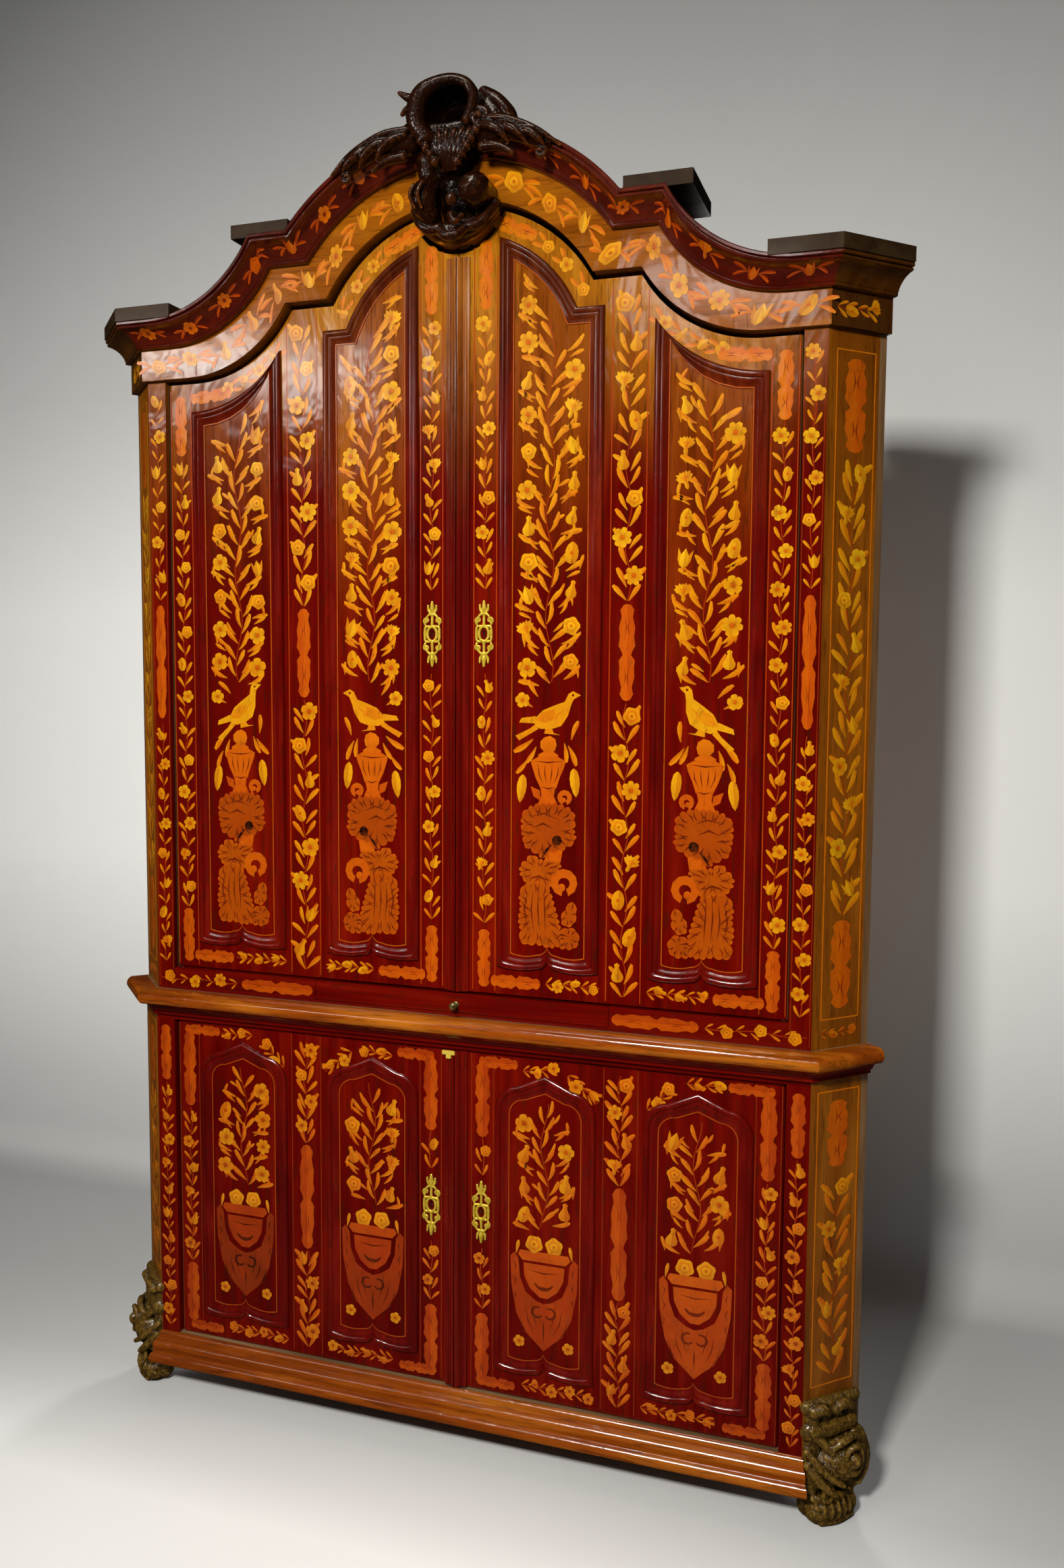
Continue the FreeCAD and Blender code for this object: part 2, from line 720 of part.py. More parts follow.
spray_right = front_board("crest_spray", [SPRAY_LOOP], cornice_face, spray_board)
crest_forms += [spray_right, mirrored("crest_spray", spray_right)]
crest_blank = doc.addObject("Part::MultiFuse", "crest_blank")
crest_blank.Shapes = crest_forms
keep(boolean("Cut", "crest", crest_blank, hood_front))


# Door panels: closed outlines, drawn in by an inset
def cusped_bottom(near, far, low):
    """Bottom edge of a panel: two shallow sags and a cusp that points up in the middle."""
    middle = (near + far) / 2
    half = middle - cusp_half - near
    sag = half * half / (8 * bottom_sag) + bottom_sag / 2
    return [(near, low, sag), (middle - cusp_half, low), (middle, low + cusp_rise),
            (middle + cusp_half, low, sag), (far, low)]


def upper_inner(inset):
    near, far = inner_near + inset, inner_far - inset
    offset = -panel_arch_drop - inset
    shoulder = hood_shoulder(offset)
    return cusped_bottom(near, far, upper_panel_low + inset) + [
        (far, shoulder), (arch_x(offset, shoulder), shoulder, hood_radius + offset),
        (near, arch_z(offset, near))]


def upper_outer(inset):
    near, far = outer_near + inset, outer_far - inset
    high, low = panel_sweep_high - 1.3 * inset, panel_sweep_low - inset
    return cusped_bottom(near, far, upper_panel_low + inset) + [
        (far, low, -tangent_radius(far - near, high - low)), (near, high)]


def lower_arch(near, far, inset):
    """Pointed arch: rounded shoulders under two straight slopes."""
    near, far = near + inset, far - inset
    middle, half = (near + far) / 2, (far - near) / 2
    spring, apex = spring_height - 0.3 * inset, apex_height - 1.2 * inset
    step, rise = 0.45 * half, 0.66 * (apex - spring)
    bend = (step * step + rise * rise) / (2 * step)
    return cusped_bottom(near, far, lower_panel_low + inset) + [
        (far, spring, bend), (far - step, spring + rise), (middle, apex),
        (near + step, spring + rise, bend), (near, spring)]


def lower_inner(inset):
    return lower_arch(inner_near, inner_far, inset)


def lower_outer(inset):
    return lower_arch(outer_near, outer_far, inset)


# Doors: a frame with two panels, a raised moulding round each, a half astragal and an escutcheon
door_edge = opening_half - door_gap
upper_side_line = [(door_edge, hood_end(-hood_gap))] + hood_side(-hood_gap, door_edge)[1:]
door_lobe_x, door_lobe_z, door_lobe_turn = lobe_foot(-hood_gap)
lobe_middle = arch_z(zero, lobe_half) - lobe_drop + lobe_radius


def lobe_z_at(x):
    return lobe_middle - root(door_lobe_turn * door_lobe_turn - x * x)


upper_outline = [(meeting_gap, rail_top + door_lift), (door_edge, rail_top + door_lift)]
upper_outline += upper_side_line
upper_outline += [(door_lobe_x, door_lobe_z, -door_lobe_turn),
                  (meeting_gap, lobe_z_at(meeting_gap))]
lower_outline = [(meeting_gap, floor_top + door_lift), (door_edge, floor_top + door_lift),
                 (door_edge, lower_head - door_lift), (meeting_gap, lower_head - door_lift)]
astragal_top = lobe_z_at(astragal_half) - astragal_half / 2
# Astragal: across from the meeting edge, behind the ridge, and the arc that follows
ASTRAGAL_STEPS = ((0, 0, 11), (9, 7), (12, 7, 3), (17, 7), (21, 8))
# Escutcheon: a quarter of the plate about its middle, from the top
ESCUTCHEON = ((0, 60), (5, 57), (8, 50), (7, 42), (5, 35), (11, 31), (16, 25), (17, 18), (15, 7))
doors = {
    "upper": (upper_outline, (upper_inner, upper_outer), zero, rail_top + door_lift,
              astragal_top, upper_key_z),
    "lower": (lower_outline, (lower_inner, lower_outer), lower_step, floor_top + door_lift,
              lower_head - door_lift, lower_key_z),
}
bore_group = group("pivot_bores", bores)
for storey, (outline, loops, out, low, high, key_z) in doors.items():
    face = door_recess - out
    back = face + door_board
    seat = moulding_width / 2
    frame_blank = front_board(f"{storey}_frame_blank", [outline] + [loop(seat) for loop in loops],
                              back, door_board)
    doc.recompute()
    frame_solid = frame_blank.Tip
    edges = [f"Edge{i}" for i, edge in enumerate(frame_solid.Shape.Edges, 1)
             if all(abs(v.X - door_edge.number) < 0.01 and abs(v.Y - face.number) < 0.01
                    for v in edge.Vertexes)]
    rounding = frame_blank.newObject("PartDesign::Fillet", "edge_round")
    rounding.Base = (frame_solid, edges)
    rounding.setExpression("Radius", edge_round.text)
    keep_pair(f"{storey}_door_frame", boolean("Cut", "door_frame", frame_blank, bore_group))

    panels = [front_board("panel", [loop(seat)], face + panel_board, panel_board)
              for loop in loops]
    keep_pair(f"{storey}_door_panels", group("door_panels", panels))

    raised = []
    for loop in loops:
        moulding = new_body("panel_moulding")
        crown = face - moulding_rise
        front_loft(moulding, "PartDesign::AdditiveLoft",
                   [(face, loop(zero)), (face - moulding_side, loop(zero)),
                    (crown, loop(crown_near))])
        front_loft(moulding, "PartDesign::SubtractiveLoft",
                   [(crown, loop(crown_far)), (face - moulding_lip, loop(moulding_width)),
                    (face, loop(moulding_width))])
        raised.append(moulding)
    keep_pair(f"{storey}_panel_mouldings", group("panel_mouldings", raised))

    ridge = face - astragal_rise
    reeds = [(meeting_gap + across, ridge + behind, *bend)
             for across, behind, *bend in ASTRAGAL_STEPS]
    strip = plan_board("astragal", [(meeting_gap, face)] + reeds + [(astragal_half, face)],
                       low, high - low)
    keep_pair(f"{storey}_astragal", strip)

    half_plate = [(x, -z) for x, z in ESCUTCHEON] + list(reversed(ESCUTCHEON))
    plate_loop = [(key_x + x, key_z + z) for x, z in half_plate]
    plate_loop += [(key_x - x, key_z + z) for x, z in reversed(half_plate[1:-1])]
    hole_loop = [(key_x - keyhole_half, key_z - keyhole_reach, keyhole_bend),
                 (key_x + keyhole_half, key_z - keyhole_reach),
                 (key_x + keyhole_half, key_z + keyhole_reach, keyhole_bend),
                 (key_x - keyhole_half, key_z + keyhole_reach)]
    keep_pair(f"{storey}_escutcheon",
              front_board("escutcheon", [plate_loop, hole_loop], face, escutcheon_board))

    # Box lock on the back of the right door, with a bolt that shoots behind the left door
    middle = back + lock_depth / 2
    case = block("lock_case", (lock_x, back, key_z - lock_half),
                 (lock_x + lock_width, back + lock_depth, key_z + lock_half))
    hollow_half = bolt_board / 2 + bolt_play
    hollow_reach = bolt_half + bolt_play
    hollow = block("lock_hollow", (lock_x, middle - hollow_half, key_z - hollow_reach),
                   (lock_x + lock_width - lock_wall, middle + hollow_half, key_z + hollow_reach))
    keep(boolean("Cut", f"{storey}_lock", case, hollow))
    keep(block(f"{storey}_lock_bolt", (lock_x, middle - bolt_board / 2, key_z - bolt_half),
               (lock_x + bolt_length, middle + bolt_board / 2, key_z + bolt_half)))

doc.recompute()
failed = [item.Label for item in doc.Objects if {"Invalid", "Error"} & set(item.State)]
failed += [item.Label for item in pieces if item.Shape.isNull() or not item.Shape.isValid()]
if failed:
    raise RuntimeError(f"failed objects: {failed}")
os.makedirs("parts", exist_ok=True)
for item in pieces:
    item.Shape.exportStep(f"parts/{item.Label}.step")
    print(item.Label, len(item.Shape.Solids), round(item.Shape.Volume / 1000), "cm3")
print(len(pieces), "nodes")
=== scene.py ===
import cmath
import math
import random

import bmesh
import bpy
from mathutils import Matrix, Vector


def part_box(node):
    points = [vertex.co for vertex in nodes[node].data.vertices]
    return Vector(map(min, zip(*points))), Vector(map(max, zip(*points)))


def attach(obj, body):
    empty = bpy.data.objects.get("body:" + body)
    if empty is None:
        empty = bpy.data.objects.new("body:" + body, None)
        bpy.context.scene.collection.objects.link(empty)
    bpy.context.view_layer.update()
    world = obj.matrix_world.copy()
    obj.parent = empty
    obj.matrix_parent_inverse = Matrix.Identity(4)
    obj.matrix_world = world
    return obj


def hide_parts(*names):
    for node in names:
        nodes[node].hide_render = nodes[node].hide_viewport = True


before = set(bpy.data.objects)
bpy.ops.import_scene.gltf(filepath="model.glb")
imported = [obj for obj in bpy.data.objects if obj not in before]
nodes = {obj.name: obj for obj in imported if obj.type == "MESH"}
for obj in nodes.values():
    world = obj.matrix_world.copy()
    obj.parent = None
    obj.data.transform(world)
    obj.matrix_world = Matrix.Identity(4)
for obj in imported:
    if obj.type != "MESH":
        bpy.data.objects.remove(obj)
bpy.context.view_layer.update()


# Carcase: the floors, shelves, backs, roof boards, rear foot and the bed of the slide are plain
# sawn oak, left matte and dark with age. The boards of the backs are upright, with open joints.
class Shade:
    """A value in a finish; sums on it add the nodes that work them out."""

    def __init__(self, tree, socket=None):
        self.tree = tree
        self.socket = socket

    def add(self, kind, settings=None, values=None, out=0):
        """Any other node: its kind, its settings, and the values or links of its sockets."""
        node = self.tree.nodes.new(kind)
        for key, value in (settings or {}).items():
            if key == "stops":
                ramp = node.color_ramp.elements
                ramp.remove(ramp[1])
                ramp[0].position, ramp[0].color = value[0][0], (*value[0][1], 1)
                for at, colour in value[1:]:
                    ramp.new(at).color = (*colour, 1)
            else:
                setattr(node, key, value)
        for key, value in (values or {}).items():
            if isinstance(value, Shade):
                self.tree.links.new(value.socket, node.inputs[key])
            else:
                node.inputs[key].default_value = value
        return Shade(self.tree, node.outputs[out])

    def sum(self, operation, first, second):
        return self.add("ShaderNodeMath", {"operation": operation}, {0: first, 1: second})

    def __add__(self, other):
        return self.sum("ADD", self, other)

    def __sub__(self, other):
        return self.sum("SUBTRACT", self, other)

    def __mul__(self, other):
        return self.sum("MULTIPLY", self, other)

    def __rsub__(self, other):
        return self.sum("SUBTRACT", other, self)

    __radd__, __rmul__ = __add__, __mul__

    def noise(self, place, stretch, detail=4.0, distortion=0.4):
        """Cloudy value from 0 to 1, with stretch features to the metre each way."""
        spread = self.add("ShaderNodeMapping", None, {"Vector": place, "Scale": stretch})
        return self.add("ShaderNodeTexNoise", None, {
            "Vector": spread, "Scale": 1.0, "Detail": detail, "Distortion": distortion}, "Fac")

    def ramp(self, *stops):
        return self.add("ShaderNodeValToRGB", {"stops": stops}, {"Fac": self}, "Color")

    def mix(self, first, second):
        """Colour between two others, by this value."""
        return self.add("ShaderNodeMix", {"data_type": "RGBA"}, {0: self, 6: first, 7: second}, 2)

    def tint(self, other):
        """This colour multiplied by another."""
        return self.add("ShaderNodeMix", {"data_type": "RGBA", "blend_type": "MULTIPLY"},
                        {0: 1.0, 6: self, 7: other}, 2)

    def span(self, low, high, to_low=0.0, to_high=1.0):
        return self.add("ShaderNodeMapRange", {"interpolation_type": "SMOOTHSTEP"}, {
            "Value": self, "From Min": low, "From Max": high, "To Min": to_low, "To Max": to_high})


def start_finish(name, roughness, coat=0.0, metallic=0.0):
    """New finish: its material, a value to start from, its shader and the place on the object."""
    material = bpy.data.materials.new(name)
    material.use_nodes = True
    shader = material.node_tree.nodes["Principled BSDF"]
    shader.inputs["Roughness"].default_value = roughness
    shader.inputs["Metallic"].default_value = metallic
    shader.inputs["Coat Weight"].default_value = coat
    shader.inputs["Coat Roughness"].default_value = 0.1
    shader.inputs["Specular IOR Level"].default_value = 0.3
    start = Shade(material.node_tree)
    return material, start, shader, start.add("ShaderNodeTexCoord", out="Object")


def feed(shader, name, value):
    value.tree.links.new(value.socket, shader.inputs[name])


def relief(shader, value, strength, depth):
    bump = value.add("ShaderNodeBump", None,
                     {"Height": value, "Strength": strength, "Distance": depth})
    feed(shader, "Normal", bump)


def oak(name, stretch, board):
    """Sawn boards, board wide along X, with the grain along the smallest stretch."""
    material, start, shader, place = start_finish(name, 0.62)
    across = start.add("ShaderNodeSeparateXYZ", None, {0: place}, 0)
    figure = start.noise(place, stretch, 6.0, 0.9)
    streak = start.noise(place, [s * 6 for s in stretch], 2.0, 0.0)
    share = start.add("ShaderNodeMath", {"operation": "FRACT"}, {0: across * (1 / board)})
    joint = start.add("ShaderNodeMath", {"operation": "ABSOLUTE"}, {0: share - 0.5})
    seam = joint.span(0.485, 0.497)
    colour = (figure * 0.7 + streak * 0.3).ramp(
        (0.3, (0.05, 0.024, 0.009)), (0.5, (0.13, 0.066, 0.026)), (0.72, (0.23, 0.13, 0.055)))
    feed(shader, "Base Color", seam.mix(colour, (0.012, 0.007, 0.004, 1)))
    feed(shader, "Roughness", 0.5 + figure * 0.25)
    relief(shader, streak - seam * 2, 0.35, 0.0006)
    return material


def cover(material, *names):
    """Give solids of the frame their finish."""
    for name in names:
        nodes[name].data.materials.clear()
        nodes[name].data.materials.append(material)


cover(oak("oak_upright", (26, 26, 1.6), 0.118), "lower_back_right", "lower_back_left",
      "upper_back_right", "upper_back_left", "foot_rear")
cover(oak("oak_level", (1.8, 30, 30), 2.0), "lower_bottom", "lower_top", "lower_shelf",
      "upper_bottom", "upper_shelves", "slide_bed")
cover(oak("oak_roof", (26, 1.8, 26), 0.13), "hood_roof")


# Case sides, stiles, rails, frieze, slide and doors: boards faced with dark red-brown veneer,
# polished to a deep gloss. The front and the panels turn golden brown towards the top, painted
# light for the top lit more brightly; the canted sides are olive and the frieze amber. The oak
# under it is left bare at the back of the doors.
FACE = -0.3525
VENEERED = FACE + 0.010


def wave(start, place):
    """Slow wave of an old polished surface, which breaks up what it mirrors."""
    return start.noise(place, (11, 11, 6), 3.0, 0.6) * 60


def veneer(name, stretch, low, high, change_heights=(1.6, 2.2), roughness=0.17, coat=0.1, drift=0.5,
           faced=False):
    """Polished veneer, with dark, middle and light colours below and above the change heights."""
    material, start, shader, place = start_finish(name, roughness, coat)
    height = start.add("ShaderNodeSeparateXYZ", None, {0: place}, 2)
    figure = start.noise(place, stretch, 5.0, 1.1)
    cloud = start.noise(place, [max(s * 0.16, 1.4) for s in stretch], 2.0, 0.3)
    pores = start.noise(place, [s * 7 for s in stretch], 2.0, 0.0)
    mottle = figure * 0.55 + cloud * 0.45
    below, above = (mottle.ramp(*zip((0.3, 0.5, 0.7), colours)) for colours in (low, high))
    colour = (height + (cloud - 0.5) * drift).span(*change_heights).mix(below, above)
    colour = pores.span(0.56, 0.68, 0.0, 0.45).mix(colour, (0.02, 0.005, 0.001, 1))
    gloss = roughness - 0.05 + figure * 0.12
    if faced:
        depth = start.add("ShaderNodeSeparateXYZ", None, {0: place}, 1)
        bare = depth.span(VENEERED, VENEERED + 0.0015)
        colour = bare.mix(colour, mottle.ramp((0.3, (0.06, 0.027, 0.010)),
                                              (0.7, (0.19, 0.10, 0.042))))
        gloss = gloss + bare * 0.3
    feed(shader, "Base Color", colour)
    feed(shader, "Roughness", gloss)
    relief(shader, figure * 0.4 - pores * 0.3 + wave(start, place), 0.12, 0.0006)
    return material


# The two golden upper colour sets below, for the tops of the front and the panels, are painted light:
# the top lit more brightly.
RED = ((0.038, 0.0004, 0.0002), (0.082, 0.0010, 0.0003), (0.140, 0.0045, 0.0006))
GOLD_PAINTED_LIGHT = ((0.110, 0.020, 0.0006), (0.200, 0.052, 0.0015), (0.29, 0.105, 0.005))
STRAW_PAINTED_LIGHT = ((0.15, 0.036, 0.001), (0.27, 0.095, 0.003), (0.37, 0.16, 0.008))
OLIVE = ((0.095, 0.024, 0.0006), (0.175, 0.048, 0.0012), (0.25, 0.085, 0.003))
# The darkest set below is the olive darkened for the returns of the frieze and cornice: painted shade
# on the ends.
SHADED = ((0.030, 0.008, 0.0010), (0.055, 0.017, 0.0016), (0.09, 0.032, 0.004))
AMBER = ((0.10, 0.023, 0.0008), (0.18, 0.048, 0.0016), (0.27, 0.085, 0.003))
front_veneer = veneer("veneer_front", (42, 42, 3.2), RED, STRAW_PAINTED_LIGHT, (1.7, 2.25), 0.13, faced=True)
cant_veneer = veneer("veneer_cant", (40, 40, 3.0), OLIVE, OLIVE, roughness=0.36)
frieze_veneer = veneer("veneer_frieze", (3.4, 42, 42), AMBER, AMBER, roughness=0.12, coat=0.2)
level_veneer = veneer("veneer_level", (3.0, 42, 42), RED, RED)
panel_veneer = veneer("veneer_panel", (30, 30, 2.4), RED, GOLD_PAINTED_LIGHT, (1.5, 2.3), 0.13, faced=True)
painted_shade_return_veneer = veneer("veneer_return_painted_shade", (40, 40, 3.0), SHADED, SHADED, roughness=0.36)
for storey in ("upper", "lower"):
    for side in ("right", "left"):
        cover(cant_veneer, f"{storey}_side_{side}")
        cover(front_veneer, f"{storey}_stile_{side}", f"{storey}_door_frame_{side}")
        cover(panel_veneer, f"{storey}_door_panels_{side}")
cover(level_veneer, "lower_head_rail", "waist_rail", "slide_board")
cover(frieze_veneer, "frieze")
cover(painted_shade_return_veneer, "frieze_returns")


# Raised panel mouldings: lengths of dark polished wood with a round outer bead, a quirk and a
# hollow that falls to the panel, mitred and bent round each panel, glued to the door frame.
STEP = 0.0045
DOOR = {"upper": FACE + 0.008, "lower": FACE + 0.008 - STEP}
SIDES = {"right": 1, "left": -1}
MM = 0.001
INNER_PANEL, OUTER_PANEL = (77, 267), (354, 547)
UPPER_FOOT, LOWER_FOOT = 922, 167


def arc_points(start, stop, radius, steps):
    """Points between start and stop on an arc that turns left where radius is positive."""
    chord = stop - start
    left = Vector((-chord.y, chord.x)).normalized()
    rise = math.sqrt(max(radius * radius - chord.length_squared / 4, 0))
    centre = (start + stop) / 2 + left * math.copysign(rise, radius)
    turn = math.copysign(2 * math.asin(min(chord.length / 2 / abs(radius), 1)), radius)
    return [centre + Matrix.Rotation(turn * i / steps, 2) @ (start - centre)
            for i in range(1, steps)]


def traced(corners, steps=10):
    """Points round a closed line of corners (x, z) or (x, z, radius of the arc that follows)."""
    points = []
    for here, after in zip(corners, corners[1:] + corners[:1]):
        start, stop = Vector(here[:2]), Vector(after[:2])
        points.append(start)
        if len(here) == 3:
            points += arc_points(start, stop, here[2], steps)
    return points


def leaving(run, rise):
    """Radius of an arc that leaves a line smoothly, going run along it and rise off it."""
    return (run * run + rise * rise) / (2 * rise)


def cusped_bottom(near, far, low):
    """Lower edge of a panel: two sagging curves that rise to a cusp in the middle."""
    wide, rise = 18, 14
    middle, half = (near + far) / 2, (far - near) / 2 - wide
    sag = half * half / 32 + 2
    cusp = leaving(wide, rise)
    return [(near, low, sag), (middle - wide, low, cusp), (middle, low + rise, cusp),
            (middle + wide, low, sag), (far, low)]


def upper_inner(inset):
    near, far, radius = INNER_PANEL[0] + inset, INNER_PANEL[1] - inset, 238 - inset
    centre, shoulder = 1978, 2072 - inset
    foot = math.sqrt(radius ** 2 - (shoulder - centre) ** 2)
    return cusped_bottom(near, far, UPPER_FOOT + inset) + [
        (far, shoulder), (foot, shoulder, radius),
        (near, centre + math.sqrt(radius ** 2 - near ** 2))]


def upper_outer(inset):
    near, far = OUTER_PANEL[0] + inset, OUTER_PANEL[1] - inset
    high, low = 2044 - 1.3 * inset, 1944 - inset
    return cusped_bottom(near, far, UPPER_FOOT + inset) + [
        (far, low, -leaving(far - near, high - low)), (near, high)]


def lower_arch(edges, inset):
    near, far = edges[0] + inset, edges[1] - inset
    middle, half = (near + far) / 2, (far - near) / 2
    spring, apex = 660 - 0.3 * inset, 729 - 1.2 * inset
    step, rise = 0.45 * half, 0.66 * (apex - spring)
    bend = (step * step + rise * rise) / (2 * step)
    return cusped_bottom(near, far, LOWER_FOOT + inset) + [
        (far, spring, bend), (far - step, spring + rise), (middle, apex),
        (near + step, spring + rise, bend), (near, spring)]


PANELS = {"upper": (upper_inner, upper_outer),
          "lower": (lambda inset: lower_arch(INNER_PANEL, inset),
                    lambda inset: lower_arch(OUTER_PANEL, inset))}


def skin(blank, rows, ring=False, cap=False):
    """Faces between rows of points; ring joins the last row to the first, cap shuts the ends."""
    rows = [[blank.verts.new(point) for point in row] for row in rows]
    for here, after in zip(rows, rows[1:] + (rows[:1] if ring else [])):
        for i in range(len(here) - 1):
            blank.faces.new((here[i], here[i + 1], after[i + 1], after[i]))
    if cap:
        blank.faces.new([row[0] for row in rows])
        blank.faces.new([row[-1] for row in rows])
    return rows


def set_up(name, blank, material):
    """Object in the scene from a finished blank, which is used up."""
    mesh = bpy.data.meshes.new(name)
    blank.to_mesh(mesh)
    blank.free()
    mesh.materials.append(material)
    made = bpy.data.objects.new(name, mesh)
    bpy.context.scene.collection.objects.link(made)
    return made


def piece(name, blank, body, material, slot, *stands_for):
    """Finished piece on a body, smooth but for its sharper arrises."""
    crisp = 0.55
    bmesh.ops.remove_doubles(blank, verts=blank.verts, dist=0.02 * MM)
    bmesh.ops.recalc_face_normals(blank, faces=blank.faces)
    for face in blank.faces:
        face.smooth = True
    for edge in blank.edges:
        edge.smooth = edge.calc_face_angle(0) < crisp
    made = set_up(name, blank, material)
    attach(made, body)
    if stands_for:
        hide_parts(*stands_for)


moulding_wood = veneer("moulding_dark", (36, 36, 5), RED, (
    (0.025, 0.003, 0.0006), (0.055, 0.008, 0.0012), (0.10, 0.022, 0.003)), roughness=0.22, coat=0.3)
BEAD = ((0, -0.2), (0, 3.0), (0.8, 4.6), (2.4, 6.0), (4.8, 6.9), (7.2, 7.0), (9.4, 6.2),
        (10.6, 4.8), (11.2, 3.6), (12.4, 4.2), (14.6, 4.2), (17, 3.2), (19.5, 1.9), (20.5, 1.3),
        (28, 1.2), (28, -0.2))
for storey, loops in PANELS.items():
    for side, sign in SIDES.items():
        blank = bmesh.new()
        for loop in loops:
            rows = []
            for inset, rise in BEAD:
                line = traced(loop(inset))
                rows.append([(sign * p.x * MM, DOOR[storey] - rise * MM, p.y * MM)
                             for p in line + line[:1]])
            skin(blank, rows, ring=True)
        piece(f"panel_bead_{storey}_{side}", blank, f"{storey}_door_{side}", moulding_wood, "moulding",
              f"{storey}_panel_mouldings_{side}")


# Straight mouldings: a stepped base and a bold waist nosing in golden-brown wood, run with shaped
# planes and mitred round the canted corners; the meeting strips of the doors are reeded.
HONEY = ((0.10, 0.014, 0.0006), (0.21, 0.042, 0.0015), (0.36, 0.11, 0.006))
golden_wood = veneer("moulding_golden", (2.6, 34, 34), HONEY, HONEY, roughness=0.2, coat=0.5)
waist_wood = veneer("moulding_waist", (2.6, 34, 34), RED, HONEY, (0.796, 0.801), 0.2, 0.5, 0.004)
reeded_wood = veneer("moulding_reeded", (40, 40, 3), RED, (
    (0.10, 0.026, 0.003), (0.21, 0.062, 0.007), (0.30, 0.11, 0.014)), roughness=0.24, coat=0.5)
HALF_FRONT = 0.639


def corner_at(out):
    return HALF_FRONT + out * (math.sqrt(2) - 1), FACE - out


def return_at(out):
    """Wall end of a moulding that stands out from the canted side."""
    x = HALF_FRONT + out * math.sqrt(2)
    wall = 0.809
    return (wall + x) / 2, FACE + (wall - x) / 2


def smooth_profile(*steps):
    """Profile points (out, z) in metres from steps of (out, z, radius of the arc that follows)."""
    return [(point.x * MM, point.y * MM) for point in traced(steps, 8)]


def run_round(name, profile, stops, material, node):
    """Length of moulding through plan stops, each a function of the distance out."""
    blank = bmesh.new()
    rows = [[(*stop(out), z) for stop in stops] for out, z in profile]
    skin(blank, rows, ring=True, cap=True)
    piece(name, blank, "cabinet", material, "moulding", node)


def mirror_stop(stop):
    return lambda out: (-stop(out)[0], stop(out)[1])


WAIST = smooth_profile((4.5, 824), (4.5, 774), (11.5, 774), (11.5, 780), (15.5, 782, -24),
                       (35.5, 798), (39.5, 800, 14), (34.5, 824))
run_round("waist_nosing", WAIST, (
    return_at, corner_at, mirror_stop(corner_at), mirror_stop(return_at)), waist_wood, "waist_moulding")
BASE = smooth_profile((4.5, 92), (-29.5, 92), (-29.5, 55), (26.5, 55), (32.5, 59, 12), (32.5, 77),
                      (25.5, 80), (25.5, 86, 10), (20.5, 101), (13.5, 104), (13.5, 108, 8), (4.5, 116))
run_round("base_steps", BASE, (corner_at, mirror_stop(corner_at)), golden_wood, "base_moulding")
cover(reeded_wood, *(f"{storey}_astragal_{side}" for storey in DOOR for side in SIDES))


# Hood: a cornice with a deep hollow, dark red under a rounded lip, bent over the arch, the
# shoulders and the hollow sweeps, and returned along the canted ends. Flat platforms stand on it.
HOOD_CENTRE, HOOD_RADIUS = 1.978, 0.289
FRIEZE_OUT, FRIEZE_HIGH = 0.012, 0.063


def end_height(offset):
    """Height of a hood line past its sweeps and along the canted ends."""
    return 2.004 + 0.9 * offset


def hood_line(offset, reach, fine=1):
    """Points (x, z) along one line of the hood, from the right end over the arch to the left."""
    start, end = 0.334 + 0.44 * offset, 0.540 + 0.54 * offset
    low, shoulder = end_height(offset), HOOD_CENTRE + 0.145 + offset
    radius = leaving(end - start, shoulder - low)
    turn = math.asin((end - start) / radius)
    arch = HOOD_RADIUS + offset
    foot = math.asin((shoulder - HOOD_CENTRE) / arch)
    right = [(reach, low)]
    for i in range(16 * fine + 1):
        a = turn * i / (16 * fine)
        right.append((end - radius * math.sin(a), low + radius * (1 - math.cos(a))))
    for i in range(24 * fine + 1):
        a = foot + (math.pi / 2 - foot) * i / (24 * fine)
        right.append((arch * math.cos(a), HOOD_CENTRE + arch * math.sin(a)))
    return right + [(-x, z) for x, z in right[-2::-1]]


def cove(share):
    """Point (out, low) across the cornice's hollow, both from the frieze's face and top."""
    a, b = 1 - share, share
    weights = a ** 3, 3 * a * a * b, 3 * a * b * b, b ** 3
    corners = (0.012, 0.007), (0.014, 0.017), (0.026, 0.031), (0.042, 0.034)
    return tuple(sum(w * c[k] for w, c in zip(weights, corners)) for k in (0, 1))


CORNICE = [(0, 0), (0.008, 0), (0.0105, 0.001), (0.0115, 0.0035), (0.0105, 0.006), (0.012, 0.007)]
CORNICE += [cove(i / 8) for i in range(1, 9)]
CORNICE += [(0.0440, 0.0345), (0.0452, 0.0358), (0.0455, 0.0380), (0.0445, 0.0390), (0.0425, 0.0395),
            (0.0425, 0.0405), (0.0470, 0.0412), (0.0480, 0.0425), (0.0480, 0.0462), (0.0465, 0.0480),
            (0, 0.048)]
cornice_wood = veneer("moulding_cornice", (12, 30, 12), RED, (
    (0.022, 0.0022, 0.0012), (0.048, 0.0045, 0.0018), (0.085, 0.010, 0.003)), roughness=0.2, coat=0.7)
blank = bmesh.new()
rows = []
for out, low in CORNICE:
    reach = corner_at(FRIEZE_OUT + out)[0]
    rows.append([(x, FACE - FRIEZE_OUT - out, z) for x, z in hood_line(FRIEZE_HIGH + low, reach)])
skin(blank, rows, ring=True, cap=True)
piece("cornice_bend", blank, "cabinet", cornice_wood, "moulding", "cornice_front")
blank = bmesh.new()
for sign in SIDES.values():
    rows = []
    for out, low in CORNICE:
        height = end_height(FRIEZE_HIGH + low)
        ends = corner_at(FRIEZE_OUT + out), return_at(FRIEZE_OUT + out)
        rows.append([(sign * x, y, height) for x, y in ends])
    skin(blank, rows, ring=True, cap=True)
